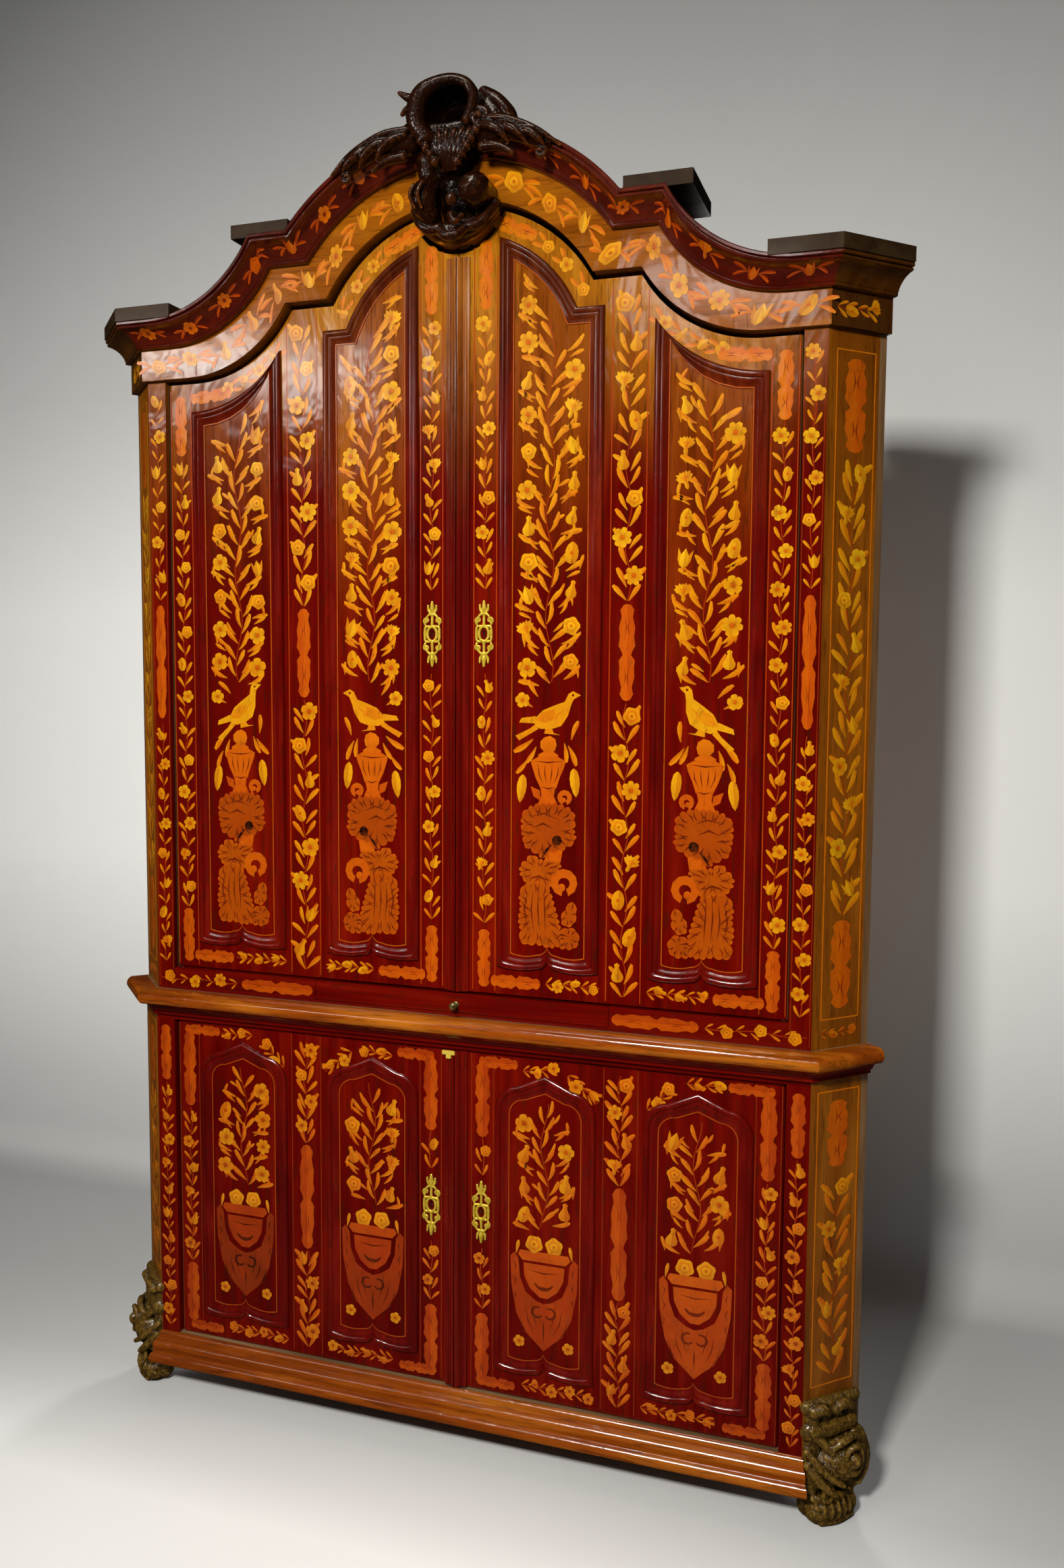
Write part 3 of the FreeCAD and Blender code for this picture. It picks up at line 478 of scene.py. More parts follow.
# The cornice ends share the painted shade of the frieze returns.
piece("cornice_ends", blank, "cabinet", veneer("moulding_returns_painted_shade", (12, 30, 12), SHADED, SHADED),
      "moulding", "cornice_returns")
SMOKED = ((0.010, 0.005, 0.002), (0.022, 0.011, 0.004), (0.04, 0.022, 0.009))
platform_wood = veneer("platform_wood", (20, 4, 20), SMOKED, SMOKED, roughness=0.42, coat=0.1)
cover(platform_wood, "platforms")


# Carved crest: a shell hood with a deep hollow between curled leaves, a fluted fan, two fruits and
# a scalloped lip, with leaf sprays along the cornice; one block of dark wood, carved and waxed.
def smooth_path(stops):
    """Points (x, y, z, radius) on a smooth line through stops, spaced by a share of the radius."""
    line = [Vector(stop) for stop in (stops[0], *stops, stops[-1])]
    points = [line[1]]
    for a, b, c, d in zip(line, line[1:], line[2:], line[3:]):
        count = max(2, round((c - b).xyz.length / (0.4 * min(b.w, c.w))))
        for i in range(1, count + 1):
            t = i / count
            points.append(0.5 * (2 * b + (c - a) * t + (2 * a - 5 * b + 4 * c - d) * t * t
                                 + (3 * b - a - 3 * c + d) * t ** 3))
    return points


def volute(x, y, z, radius, thick, turns, start, hand, rise):
    """Stops of a flat spiral that winds in to its eye, rising towards the viewer."""
    stops = []
    for i in range(int(turns * 8) + 1):
        share = i / (turns * 8)
        a = start + hand * math.tau * turns * share
        r = radius * (1 - 0.86 * share)
        stops.append((x + r * math.cos(a), y - rise * share, z + r * math.sin(a),
                      thick * (1 - 0.3 * share)))
    return stops


def carved(name, strokes, at, grain, body, material, slot, *stands_for):
    """Strokes of rounded ridges, merged into one carved surface."""
    blank = bmesh.new()
    bmesh.ops.create_icosphere(blank, subdivisions=2, radius=MM)
    ball = [vert.co.copy() for vert in blank.verts]
    faces = [[vert.index for vert in face.verts] for face in blank.faces]
    blank.free()
    corners, sides = [], []
    for stroke in strokes:
        for x, y, z, radius in smooth_path(stroke):
            centre = at(x * MM, y * MM, z * MM)
            sides += [[len(corners) + i for i in face] for face in faces]
            corners += [centre + radius * corner for corner in ball]
    mesh = bpy.data.meshes.new(name)
    mesh.from_pydata(corners, [], sides)
    mesh.materials.append(material)
    made = bpy.data.objects.new(name, mesh)
    bpy.context.scene.collection.objects.link(made)
    merge = made.modifiers.new("merge", "REMESH")
    merge.mode = "VOXEL"
    merge.voxel_size = grain * MM
    merge.use_smooth_shade = True
    soften = made.modifiers.new("soften", "SMOOTH")
    soften.factor = 0.5
    soften.iterations = 3
    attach(made, body)
    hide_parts(*stands_for)


def carving_wood(name, hollow, body, middle, ridge_highlight, roughness, coat, marks, shade_pits):
    """Waxed carving, with painted highlight on its ridges and painted shade in the hollows and the
    pits.
    """
    material, start, shader, place = start_finish(name, roughness, coat)
    edge = start.add("ShaderNodeNewGeometry", out="Pointiness")
    grain = start.noise(place, (90, 90, 25), 4.0, 0.8)
    cuts = start.noise(place, (120, 120, 95), 2.0, 1.6)
    painted_light_and_marks = edge + (cuts - 0.5) * marks
    colour = painted_light_and_marks.ramp((0.45, hollow), (0.515, body), (0.55, middle), (0.61, ridge_highlight))
    for pit, reach in shade_pits:
        deep = start.add("ShaderNodeVectorMath", {"operation": "DISTANCE"},
                         {0: place, 1: pit}, "Value")
        colour = deep.span(reach * 0.65, reach).mix((*hollow, 1), colour)
    feed(shader, "Base Color", colour)
    feed(shader, "Roughness", roughness - 0.06 + grain * 0.18)
    relief(shader, grain * 0.15 + cuts, 3 * marks, 0.004)
    return material


# Painted shade: black round the shell's hollow and between the two fruits.
PAINTED_SHADE_PITS = ((Vector((0.013, FACE - 0.052, 2.402)), 0.052), (Vector((0.008, FACE - 0.030, 2.262)), 0.040))
crest_wood = carving_wood("carving_crest", (0.002, 0.0008, 0.0004), (0.012, 0.0028, 0.0007),
                          (0.055, 0.014, 0.0025), (0.30, 0.115, 0.028), 0.2, 0.4, 0.09, PAINTED_SHADE_PITS)
strokes = [((8, 10, 2216, 30), (8, 10, 2254, 42), (6, 4, 2304, 45), (6, -14, 2340, 44),
            (4, 16, 2396, 40))]
RIM = ((-28, 2350, 14), (-45, 2374, 17), (-46, 2402, 18), (-34, 2425, 16), (-8, 2436, 13),
       (20, 2438, 11), (44, 2429, 10), (55, 2412, 9), (54, 2392, 9), (46, 2372, 10))
HOLLOW_X, HOLLOW_Z = 6, 2392
for i in range(15):
    share = math.sqrt(1 - (i / 18) ** 2)
    strokes.append([(HOLLOW_X + (x - HOLLOW_X) * share, 6 * i - 70,
                     HOLLOW_Z + (z - HOLLOW_Z) * share, r) for x, z, r in RIM])
for i in range(-3, 4):
    strokes.append(((9 + 4 * i, -58, 2300, 4), (8 + 8 * i, -67, 2328, 5),
                    (8 + 13 * i, -68 + abs(i), 2352, 6), (8 + 15 * i, -62 + 2 * abs(i), 2366, 4)))
for i in range(5):
    for x, z in ((-46 + 9 * i, 2360 - 13 * i), (62 - 8 * i, 2352 - 12 * i)):
        strokes.append(((x, -72 - i, z, 8), (x + 1, -73 - i, z - 2, 8)))
strokes += [
    ((-46, -50, 2422, 12), (-66, -54, 2427, 8), (-84, -56, 2437, 4)),
    ((-50, -52, 2408, 10), (-68, -56, 2408, 7), (-78, -58, 2400, 4)),
    ((-32, -34, 2362, 20), (6, -38, 2358, 22), (44, -34, 2362, 20)),
    ((-30, -52, 2368, 14), (6, -54, 2366, 14), (44, -52, 2368, 14)),
    ((-46, -26, 2330, 20), (-42, -24, 2296, 18)),
    ((62, -18, 2414, 14), (76, -18, 2394, 16), (84, -20, 2374, 16)),
    ((-50, -36, 2384, 16), (-76, -42, 2376, 13), (-88, -46, 2352, 9)),
    volute(67, -64, 2371, 18, 7, 1.3, 2.4, -1, 12),
    ((56, -16, 2436, 11), (78, -18, 2419, 14), (100, -18, 2395, 14), (109, -18, 2379, 10)),
    ((-34, -30, 2292, 16), (-44, -48, 2262, 25), (-36, -40, 2236, 18)),
    ((54, -22, 2264, 28), (55, -58, 2262, 29)),
    ((-50, -72, 2276, 4), (-56, -76, 2258, 4), (-50, -70, 2240, 3)),
    ((-34, -74, 2278, 4), (-40, -80, 2258, 4), (-36, -72, 2238, 3)),
    ((18, -70, 2247, 11), (18, -71, 2245, 11)),
    ((-68, -26, 2250, 9), (-54, -36, 2224, 9), (-34, -38, 2211, 9), (-20, -38, 2214, 7)),
    ((-20, -38, 2212, 7), (-4, -42, 2198, 9), (14, -42, 2197, 9), (32, -38, 2212, 7)),
    ((32, -38, 2214, 7), (48, -38, 2211, 9), (68, -36, 2224, 9), (82, -26, 2248, 9)),
    ((10, -52, 2226, 8), (18, -56, 2214, 7), (28, -50, 2224, 6)),
    ((-58, -18, 2240, 13), (-34, -20, 2222, 14), (10, -22, 2210, 15), (50, -20, 2222, 14),
     (74, -18, 2240, 13)),
]
spray = [((70, -52, 2352, 20), (112, -56, 2350, 17), (150, -60, 2334, 13), (184, -62, 2314, 8)),
         ((66, -66, 2370, 7), (104, -72, 2366, 7), (142, -75, 2352, 6), (176, -74, 2334, 5),
          (208, -68, 2311, 3)),
         ((72, -66, 2326, 9), (100, -70, 2322, 8), (126, -72, 2308, 5)),
         volute(176, -70, 2302, 11, 5, 1.2, 1.8, -1, 6)]
for i in range(3):
    x, z = 78 + 32 * i, 2362 - 0.0028 * (12 + 32 * i) ** 2
    spray.append(((x - 8, -70, z - 2, 7), (x + 14, -76, z - 10, 8), (x + 32, -77, z - 24, 6),
                  (x + 42, -72, z - 38, 2.5)))
for sign in SIDES.values():
    strokes += [[(sign * x, y, z, r) for x, y, z, r in stroke] for stroke in spray]
carved("crest_carving", strokes, lambda x, y, z: Vector((x, FACE + y, z)), 1.8, "cabinet", crest_wood,
       "carving", "crest")


# Carved feet on the canted corners: a rolled top, an oval boss in a ring, swirling leaves, a bulge
# towards the wall and a fluted toe, in olive-brown wood, carved from the block like the crest.
# The ridges of the feet are painted light and their creases painted shade, as on the crest.
foot_wood = carving_wood("carving_foot", (0.012, 0.006, 0.001), (0.085, 0.044, 0.005),
                         (0.15, 0.082, 0.009), (0.28, 0.16, 0.022), 0.34, 0.15, 0.24, ())
ROUND = [math.tau * i / 12 for i in range(13)]
strokes = [((u, -6, 22, 19), (u, -6, 100, 20), (u, -6, 190, 18)) for u in (20, 44, 70, 98)]
strokes += [
    ((36, 2, 82, 30), (62, 8, 100, 40), (88, 8, 108, 38)),
    ((106, 4, 126, 26), (110, 8, 96, 28), (100, 10, 66, 22)),
    ((14, 0, 160, 18), (56, 2, 160, 19), (98, 0, 160, 18)),
    ((6, 2, 204, 12), (40, 6, 204, 13), (74, 6, 204, 13), (108, 2, 203, 12)),
    ((12, 14, 200, 10), (28, 20, 204, 9), (42, 14, 194, 8)),
    ((56, 16, 198, 10), (74, 20, 204, 9), (92, 14, 194, 9)),
    ((80, 44, 108, 10), (81, 45, 113, 10)),
    [(80 + 18 * math.cos(a), 44 - 4 * abs(math.cos(a)), 112 + 24 * math.sin(a), 5) for a in ROUND],
    ((44, 30, 136, 6), (64, 34, 146, 7), (90, 28, 146, 7), (112, 20, 128, 7)),
    ((118, 24, 112, 5), (116, 30, 86, 6), (98, 32, 64, 6)),
    ((2, 12, 106, 7), (14, 26, 86, 8), (28, 36, 70, 7), (44, 40, 58, 5)),
    ((4, 8, 128, 6), (20, 28, 104, 7), (36, 40, 88, 6), (54, 46, 76, 5)),
    volute(30, 34, 57, 13, 5, 1.3, 0.6, -1, 5),
    ((8, 4, 156, 7), (26, 14, 146, 8), (44, 28, 128, 7)),
    ((24, 12, 24, 23), (52, 18, 24, 23), (82, 14, 24, 23)),
    ((24, 26, 9, 8), (52, 32, 9, 8), (84, 27, 9, 8)),
    ((12, 18, 48, 6), (52, 28, 46, 7), (98, 16, 48, 6)),
]
strokes += [((u, 18 + bulge, 42, 3), (u, 24 + bulge, 26, 4), (u, 18 + bulge, 9, 3))
            for u, bulge in ((14, 4), (26, 10), (39, 14), (52, 16), (65, 15), (78, 12), (92, 6))]
corner, slope = corner_at(STEP), math.sqrt(0.5)
for side, sign in SIDES.items():
    carved(f"foot_carving_{side}", strokes, lambda u, out, z, sign=sign: Vector((
        sign * (corner[0] + (u + out) * slope), corner[1] + (u - out) * slope, z)),
        1.9, "cabinet", foot_wood, "carving", f"foot_{side}")


# Locks: iron pins that the doors turn on, and box locks with a sliding bolt behind the meeting
# strips, filed bright at the edges and brown with age elsewhere.
iron, start, shader, place = start_finish("old_iron", 0.45, metallic=1.0)
rust = start.noise(place, (60, 60, 60), 5.0, 0.6)
feed(shader, "Base Color", rust.ramp((0.4, (0.16, 0.15, 0.145)), (0.6, (0.10, 0.075, 0.055)),
                                     (0.75, (0.07, 0.035, 0.018))))
feed(shader, "Roughness", 0.32 + rust * 0.35)
relief(shader, rust, 0.2, 0.0008)
cover(iron, "pivot_pins", "upper_lock", "lower_lock", "upper_lock_bolt", "lower_lock_bolt")


# Brass: keyhole plates pierced with scrolls and leaves, a small cap on a meeting strip and the
# slide's turned knob, rubbed bright on the ridges, brown in the hollows, and pinned in place.
brass, start, shader, place = start_finish("old_brass", 0.3, metallic=0.5)
edge = start.add("ShaderNodeNewGeometry", out="Pointiness")
tarnish = start.noise(place, (140, 140, 140), 4.0, 0.5)
feed(shader, "Base Color", (edge + (tarnish - 0.5) * 0.1).ramp(
    (0.42, (0.12, 0.07, 0.005)), (0.5, (0.55, 0.37, 0.025)), (0.56, (0.80, 0.60, 0.08))))
feed(shader, "Roughness", 0.2 + tarnish * 0.25)
relief(shader, tarnish, 0.15, 0.0005)
plate = [[(9 * math.cos(a), 0, 13 * math.sin(a), 2.6) for a in ROUND]]
QUARTER = (volute(11, 1, 24, 6.4, 2.2, 1.2, -1.2, 1, 1),
           ((4, 0, 14, 2), (13, 0, 12, 2.4), (14.5, 0, 0, 2.4)),
           ((0, 0, 35, 2), (7, 1, 42, 2.4), (8, 0, 51, 1.8)),
           ((14, 0, 17, 2), (10, 0, 30, 2.2), (3, 0, 37, 2)))
for up in (1, -1):
    plate += [((0, 0, 13 * up, 3), (0, 1, 34 * up, 2.6), (0, 1, 45 * up, 4.4), (0, 0, 57 * up, 2.4)),
              ((-6, 0, 35 * up, 2.2), (6, 0, 35 * up, 2.2))]
    for across in (1, -1):
        plate += [[(across * x, y, up * z, r) for x, y, z, r in stroke] for stroke in QUARTER]
KEY_X, KEY_Z = 0.050, {"upper": 1.521, "lower": 0.460}
for storey, key_z in KEY_Z.items():
    for side, sign in SIDES.items():
        middle = sign * KEY_X, DOOR[storey] - 0.0016, key_z
        carved(f"keyhole_plate_{storey}_{side}", plate,
               lambda *at, middle=middle: Vector([a + b for a, b in zip(middle, at)]), 0.8,
               f"{storey}_door_{side}", brass, "brass", f"{storey}_escutcheon_{side}")
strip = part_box("lower_astragal_left")
blank = bmesh.new()
for wide, high, low in ((25, 8, 0), (10, 7, 8)):
    middle = ((strip[0].x + strip[1].x) / 2, strip[0].y + 0.0008, strip[1].z - (low + high / 2) * MM)
    size = Matrix.Diagonal((wide * MM, 0.003, high * MM, 1))
    bmesh.ops.create_cube(blank, size=1.0, matrix=Matrix.Translation(middle) @ size)
bmesh.ops.bevel(blank, geom=blank.edges[:], offset=0.0008, segments=2, affect="EDGES")
piece("strip_cap", blank, "lower_door_left", brass, "brass")
KNOB = ((0, 6), (2, 6), (3, 4.4), (5, 3.4), (9, 3.2), (11, 4.8), (13, 6.4), (15.5, 7), (18, 6.4),
        (20, 4), (21, 0))
blank = bmesh.new()
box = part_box("slide_knob")
axis = Vector((0, box[1].y, (box[0].z + box[1].z) / 2))
turns = [math.tau * i / 28 for i in range(28)]
skin(blank, [[axis + MM * Vector((r * math.cos(a), -out, r * math.sin(a))) for out, r in KNOB]
             for a in turns], ring=True)
knob_brass, start, shader, place = start_finish("dull_brass", 0.4, metallic=0.5)
tarnish = start.noise(place, (200, 200, 200), 3.0, 0.5)
feed(shader, "Base Color", tarnish.ramp((0.35, (0.03, 0.022, 0.006)), (0.65, (0.16, 0.12, 0.03))))
feed(shader, "Roughness", 0.3 + tarnish * 0.25)
piece("slide_knob_turned", blank, "slide", knob_brass, "brass", "slide_knob")


# Inlay: flowers, fruit, birds, urns and strapwork sawn from pale and dyed veneers, shaded in hot
# sand, and let into the ground veneer all over the front and the canted sides.
inlay_wood, start, shader, place = start_finish("inlay_veneers", 0.3, 0.15)
tone = start.add("ShaderNodeAttribute", {"attribute_name": "tone"}, out="Fac")
scorch = start.add("ShaderNodeAttribute", {"attribute_name": "scorch"}, out="Fac")
streak = start.noise(place, (110, 110, 60), 3.0, 0.8)
stain = start.noise(place, (24, 24, 24), 2.0, 0.2)
wood = (tone + (stain - 0.5) * 0.14).ramp(
    (0.0, (0.012, 0.002, 0.001)), (0.2, (0.13, 0.012, 0.001)), (0.3, (0.24, 0.022, 0.001)),
    (0.42, (0.36, 0.055, 0.0012)), (0.56, (0.42, 0.088, 0.0014)), (0.72, (0.46, 0.15, 0.002)),
    (0.88, (0.51, 0.225, 0.003)), (1.0, (0.58, 0.31, 0.006)))
burnt = (scorch * 0.75 + streak.span(0.52, 0.75, 0.0, 0.35)).mix(wood, (0.13, 0.022, 0.001, 1))
feed(shader, "Base Color", burnt)
feed(shader, "Roughness", 0.16 + streak * 0.14)
relief(shader, streak * 0.5 + wave(start, place), 0.12, 0.0006)

sheets = {}
for body in ("cabinet", "upper_door_right", "upper_door_left", "lower_door_right", "lower_door_left"):
    sheets[body] = bmesh.new()
    sheets[body].faces.layers.float.new("tone")
    sheets[body].verts.layers.float.new("scorch")
chance = random.Random(7)
PROUD, LAYER, HAIR = 0.00025, 0.00014, 0.00001


def lay(ground, outline, tone, level=0):
    """Let a cut, an outline of (place, scorch), into a ground: a sheet and the field it follows."""
    sheet, field = ground
    lift = PROUD + LAYER * level + HAIR * (len(sheet.faces) % 13)
    verts = [sheet.verts.new(field(p.real, p.imag, lift)) for p, burn in outline]
    face = sheet.faces.new(verts)
    face.normal_update()
    if face.normal.y > 0:
        face.normal_flip()
    face[sheet.faces.layers.float["tone"]] = tone
    for vert, (p, burn) in zip(verts, outline):
        vert[sheet.verts.layers.float["scorch"]] = burn


def set_in(ground, cuts, spot, size, angle=0.0, tone=0.8):
    """Set a motif of several cuts at a spot."""
    turn = cmath.rect(size, angle)
    for outline, shift, level in cuts:
        lay(ground, [(spot + turn * p, burn) for p, burn in outline], tone + shift, level)


LEAF_WIDTHS = 0.022, 0.07, 0.115, 0.128, 0.065


def leaf(bend):
    """Leaf one unit long, sawn in two along the rib, the halves a shade apart."""
    spine = [complex(bend * t * t, t) for t in (0, 0.25, 0.5, 0.75, 1)]
    halves = []
    for side, shift in ((-1, 0.04), (1, -0.08)):
        edge = [p + side * w for p, w in zip(spine, LEAF_WIDTHS)]
        halves.append(([(p, 0.5 * (1 - p.imag) ** 2) for p in spine + edge[::-1]], shift, 0))
    return halves


def disc(radius, lobes=0, dip=0.0, count=12, shift=0.0, level=1, shade=0.55):
    """Round or lobed cut, scorched along its lower side."""
    outline = []
    for i in range(count):
        a = 2 * math.pi * (i + 0.5) / count
        p = cmath.rect(radius * (1 - dip * abs(math.sin(lobes * a / 2))), a)
        outline.append((p, shade * max(0.0, -p.imag / radius)))
    return outline, shift, level


def both(half, shift=0.0, level=1):
    """The two sides of a symmetric cut, the right one from a darker part of the sheet."""
    half = [complex(*p) for p in half]
    left = [(complex(-p.real, p.imag), 0.3 * max(0, -p.imag)) for p in half]
    return [([(p, 0.25 + 0.3 * max(0, -p.imag)) for p in half], shift - 0.06, level),
            (left[::-1], shift + 0.03, level)]


def blossom(count, wide):
    petals = []
    for i in range(count):
        turn = cmath.rect(1, 2 * math.pi * i / count + 0.3)
        half = ((0.14, 0), (0.4, 0.5), (0.76, 0.62), (0.97, 0.36), (1.0, 0))
        rim = [complex(r, -w * wide) for r, w in half]
        rim += [complex(r, w * wide) for r, w in half[-2:0:-1]]
        petals.append(([(turn * p, 0.75 * (1 - p.real) ** 1.5) for p in rim], 0.05 * (i % 2), 1))
    return petals + [disc(0.27, count=8, shift=-0.34, level=2)]


ROSE = [disc(1.0, 5, 0.2, 20), disc(0.72, 5, 0.24, 15, -0.13, 2), disc(0.45, 3, 0.25, 12, 0.06, 3),
        disc(0.17, count=6, shift=-0.3, level=4)]
DAISY = blossom(5, 0.72)
STAR = blossom(7, 0.5)
TULIP = both(((0, -1), (0.3, -0.72), (0.44, -0.2), (0.4, 0.3), (0, 0.95)), 0.05, 2) + both(
    ((0.1, -0.95), (0.42, -0.75), (0.66, -0.2), (0.78, 0.9), (0.5, 0.5), (0.3, -0.1)), -0.08, 1)
PEAR = both(((0, -1), (0.36, -0.95), (0.62, -0.66), (0.64, -0.32), (0.46, 0.02), (0.28, 0.34),
             (0.22, 0.6), (0.3, 0.86), (0, 1.05)))
PLUM = both(((0, -1), (0.4, -0.85), (0.62, -0.35), (0.62, 0.2), (0.44, 0.7), (0.14, 0.96), (0, 1)))
PLUM.append(disc(0.2, count=6, shift=-0.3, level=2))
PINK = both(((0, -1), (0.22, -0.7), (0.2, -0.25), (0.7, 0.05), (0.95, 0.42), (0.74, 0.52), (0.8, 0.86),
             (0.48, 0.76), (0.34, 1.0), (0.14, 0.8), (0, 0.98))) + both(
    ((0, -0.35), (0.24, 0.12), (0.42, 0.5), (0.12, 0.42), (0, 0.62)), -0.16, 2)
FLOWERS = (ROSE, DAISY, TULIP, PEAR, PINK, PLUM, STAR, ROSE, PEAR, DAISY)
BATON = [(0, -1), (0.45, -0.97), (0.8, -0.86), (0.62, -0.72), (0.92, -0.5), (0.86, -0.3),
         (0.95, -0.16), (0.5, -0.05), (0.62, 0.02), (0.98, 0.14), (0.84, 0.32), (0.95, 0.52),
         (0.66, 0.74), (0.82, 0.88), (0.42, 0.98), (0, 1)]


def strapwork(ground, spot, length, width, angle=0.0, tone=0.42):
    """Baton of dyed strapwork, waisted in the middle, with darker engraved strokes."""
    def sized(x, y):
        return spot + cmath.rect(1, angle) * complex(x * width / 2, y * length / 2)

    for side, shift in ((-1, 0.03), (1, -0.03)):
        outline = [(sized(side * x, y), 0.25 * abs(x)) for x, y in BATON]
        lay(ground, outline, tone + shift, 1)
    for low, high, lean in ((-0.82, -0.22, 0.3), (-0.7, -0.3, -0.34), (0.24, 0.8, -0.3),
                            (0.3, 0.7, 0.36)):
        middle = (low + high) / 2
        stroke = ((lean, low), (lean * 0.3 + 0.05, middle), (lean * 0.9, high),
                  (lean * 0.3 - 0.06, middle))
        lay(ground, [(sized(*p), 0.0) for p in stroke], 0.2, 2)


def ribbon(ground, line, width, tone):
    """Narrow strip of stringing or stem along a line of points."""
    for here, after in zip(line, line[1:]):
        step = after - here
        if abs(step) > 1e-6:
            side = step / abs(step) * 0.5j * width
            corners = here - side, after - side, after + side, here + side
            lay(ground, [(p, 0.0) for p in corners], tone)


def tone_at(height):
    """Flowers low on the cabinet are redder than those near the top."""
    return 0.66 + 0.22 * min(max((height - 0.3) / 1.6, 0), 1) + chance.uniform(-0.06, 0.06)


STEM_WIDTH, STEM_TONE = 0.0014, 0.3
VINE_LEAVES = (0.72, 1, 0.6, 0.56), (0.64, -1, 0.66, 0.54), (0.3, -1, 0.55, 0.54), (0.16, 1, 0.8, 0.42)


def vine(ground, first, last, half, size, pitch, redder=0.0):
    """Stem between two points, with flowers on alternate sides and pairs of leaves under them."""
    length = abs(last - first)
    along = (last - first) / length
    count = max(1, round(length / pitch))
    step = length / count

    def spot(s, across):
        return first + along * s - 1j * along * across

    lean = cmath.phase(along) - math.pi / 2
    stem = [spot(length * i / (8 * count), 0.16 * half * math.sin(math.pi * i / 8))
            for i in range(8 * count + 1)]
    ribbon(ground, stem, STEM_WIDTH, STEM_TONE)
    side = chance.choice((-1, 1))
    for i in range(count):
        s = (i + 0.66) * step
        side = -side
        where = spot(s, side * half * 0.3)
        set_in(ground, chance.choice(FLOWERS), where, size * chance.uniform(0.92, 1.1),
               lean + chance.uniform(-0.5, 0.5), tone_at(where.imag) - redder)
        for back, hand, swing, long in VINE_LEAVES:
            out, play = hand * side, 0.12
            root = spot(max(0, s - back * step), out * half * 0.06)
            reach = 0.82 * half / math.sin(swing + play)
            long = min(max(long * step, half), 2.7 * size, reach) * chance.uniform(0.88, 1.1)
            set_in(ground, leaf(chance.uniform(-0.25, 0.15) * out), root, long,
                   lean - out * (swing + chance.uniform(-play, play)),
                   tone_at(root.imag) - 0.1 - redder)


def plant(ground, centre, half, low, top, size, pitch):
    """Growth that fills a panel: flowers up both sides of a stem, and leaves that cross between."""
    high = max(top(centre + half * s) for s in (-0.6, 0, 0.6))

    def sway(v):
        return centre + 0.1 * half * math.sin(v / pitch * 2.2)

    step = 0.008
    stem = [complex(sway(low + step * i), low + step * i) for i in range(int((high - low) / step))]
    ribbon(ground, [p for p in stem if p.imag < top(p.real) - size], STEM_WIDTH, STEM_TONE)
    for i in range(int((high - low) / pitch) + 1):
        for side in (1, -1):
            v = low + pitch * (i + 0.5 + 0.09 * side + chance.uniform(-0.05, 0.05))
            spot = complex(centre + side * half * chance.uniform(0.53, 0.6), v)
            if v < top(spot.real + side * size * 0.5) - size * 0.85:
                set_in(ground, chance.choice(FLOWERS), spot, size * chance.uniform(0.9, 1.12),
                       chance.uniform(-0.4, 0.4), tone_at(v))
            for start, lift, lean, long in (
                    (0.3, -0.5, chance.uniform(1.15, 1.45), 0.6), (0.03, -0.44, 0.82, 0.62),
                    (0.02, 0.06, 0.62, 0.6), (0.36, 0.34, 1.0, 0.44), (0.66, -0.46, 0.1, 0.42),
                    (0.16, -0.16, 1.0, 0.42)):
                root = complex(sway(v + lift * pitch) + side * half * start, v + lift * pitch)
                long *= pitch * chance.uniform(0.9, 1.1)
                lean += chance.uniform(-0.1, 0.1)
                tip = root + cmath.rect(long, math.pi / 2 - side * lean)
                if root.imag > low - 0.02 and tip.imag < top(tip.real) - 0.006:
                    set_in(ground, leaf(chance.uniform(-0.45, 0.1) * side), root, long, -side * lean,
                           tone_at(v) - 0.1)


def ring_cut(centre, outer, inner, start, stop, shift=0.0, level=1):
    """Part of a ring, for scrolls: angles in degrees."""
    turns = [math.radians(start + (stop - start) * i / 10) for i in range(11)]
    rim = [centre + cmath.rect(outer, a) for a in turns]
    rim += [centre + cmath.rect(inner * (0.7 + 0.3 * abs(i - 5) / 5), a)
            for i, a in enumerate(turns[::-1])]
    return [(p, 0.15) for p in rim], shift, level


def cut(points, shift=0.0, level=1):
    return [(complex(*p), 0.22 if i % 3 == 0 else 0.05) for i, p in enumerate(points)], shift, level


def knot(x, z, radius, shift, level):
    """Small round lobe at the edge of a scroll."""
    outline, _, _ = disc(radius, 3, 0.12, 9)
    return [(complex(x, z) + p, burn) for p, burn in outline], shift, level


def engraved(*points, width=2.4, shift=-0.3):
    """Dark stroke of the graver along a line of points, drawn out thin at both ends."""
    line = [complex(*p) for p in points]
    sides = [(c - a) / abs(c - a) * 0.5j * width for a, c in zip(line, line[2:])]
    rim = line[:1] + [p - side for p, side in zip(line[1:], sides)] + line[-1:]
    rim += [p + side for p, side in zip(line[1:], sides)][::-1]
    return [(p, 0.0) for p in rim], shift, 2


def leafage(points, pitch, depth, shift=0.0):
    """Cut with lobed edges, points taken anticlockwise, and a graver's stroke in from each notch."""
    corners = [complex(*p) for p in points]
    heart = sum(corners) / len(corners)
    rim, strokes = [], []
    for here, after in zip(corners, corners[1:] + corners[:1]):
        count = max(1, round(abs(after - here) / pitch))
        lobe = (after - here) / count
        out = lobe / abs(lobe) * -1j * depth
        for i in range(count):
            notch = here + lobe * i
            rim += [(notch, 0.6), (notch + 0.25 * lobe + 0.7 * out, 0.1),
                    (notch + 0.6 * lobe + out, 0.0), (notch + 0.9 * lobe + 0.45 * out, 0.2)]
            inward = (heart - notch) * min(0.6, 18 / abs(heart - notch))
            bend = inward * (0.5 + 0.14j * (-1) ** len(strokes))
            ends = notch, notch + bend, notch + inward
            strokes.append(engraved(*((p.real, p.imag) for p in ends), width=2.8, shift=shift - 0.26))
    return [(rim, shift, 1)] + strokes


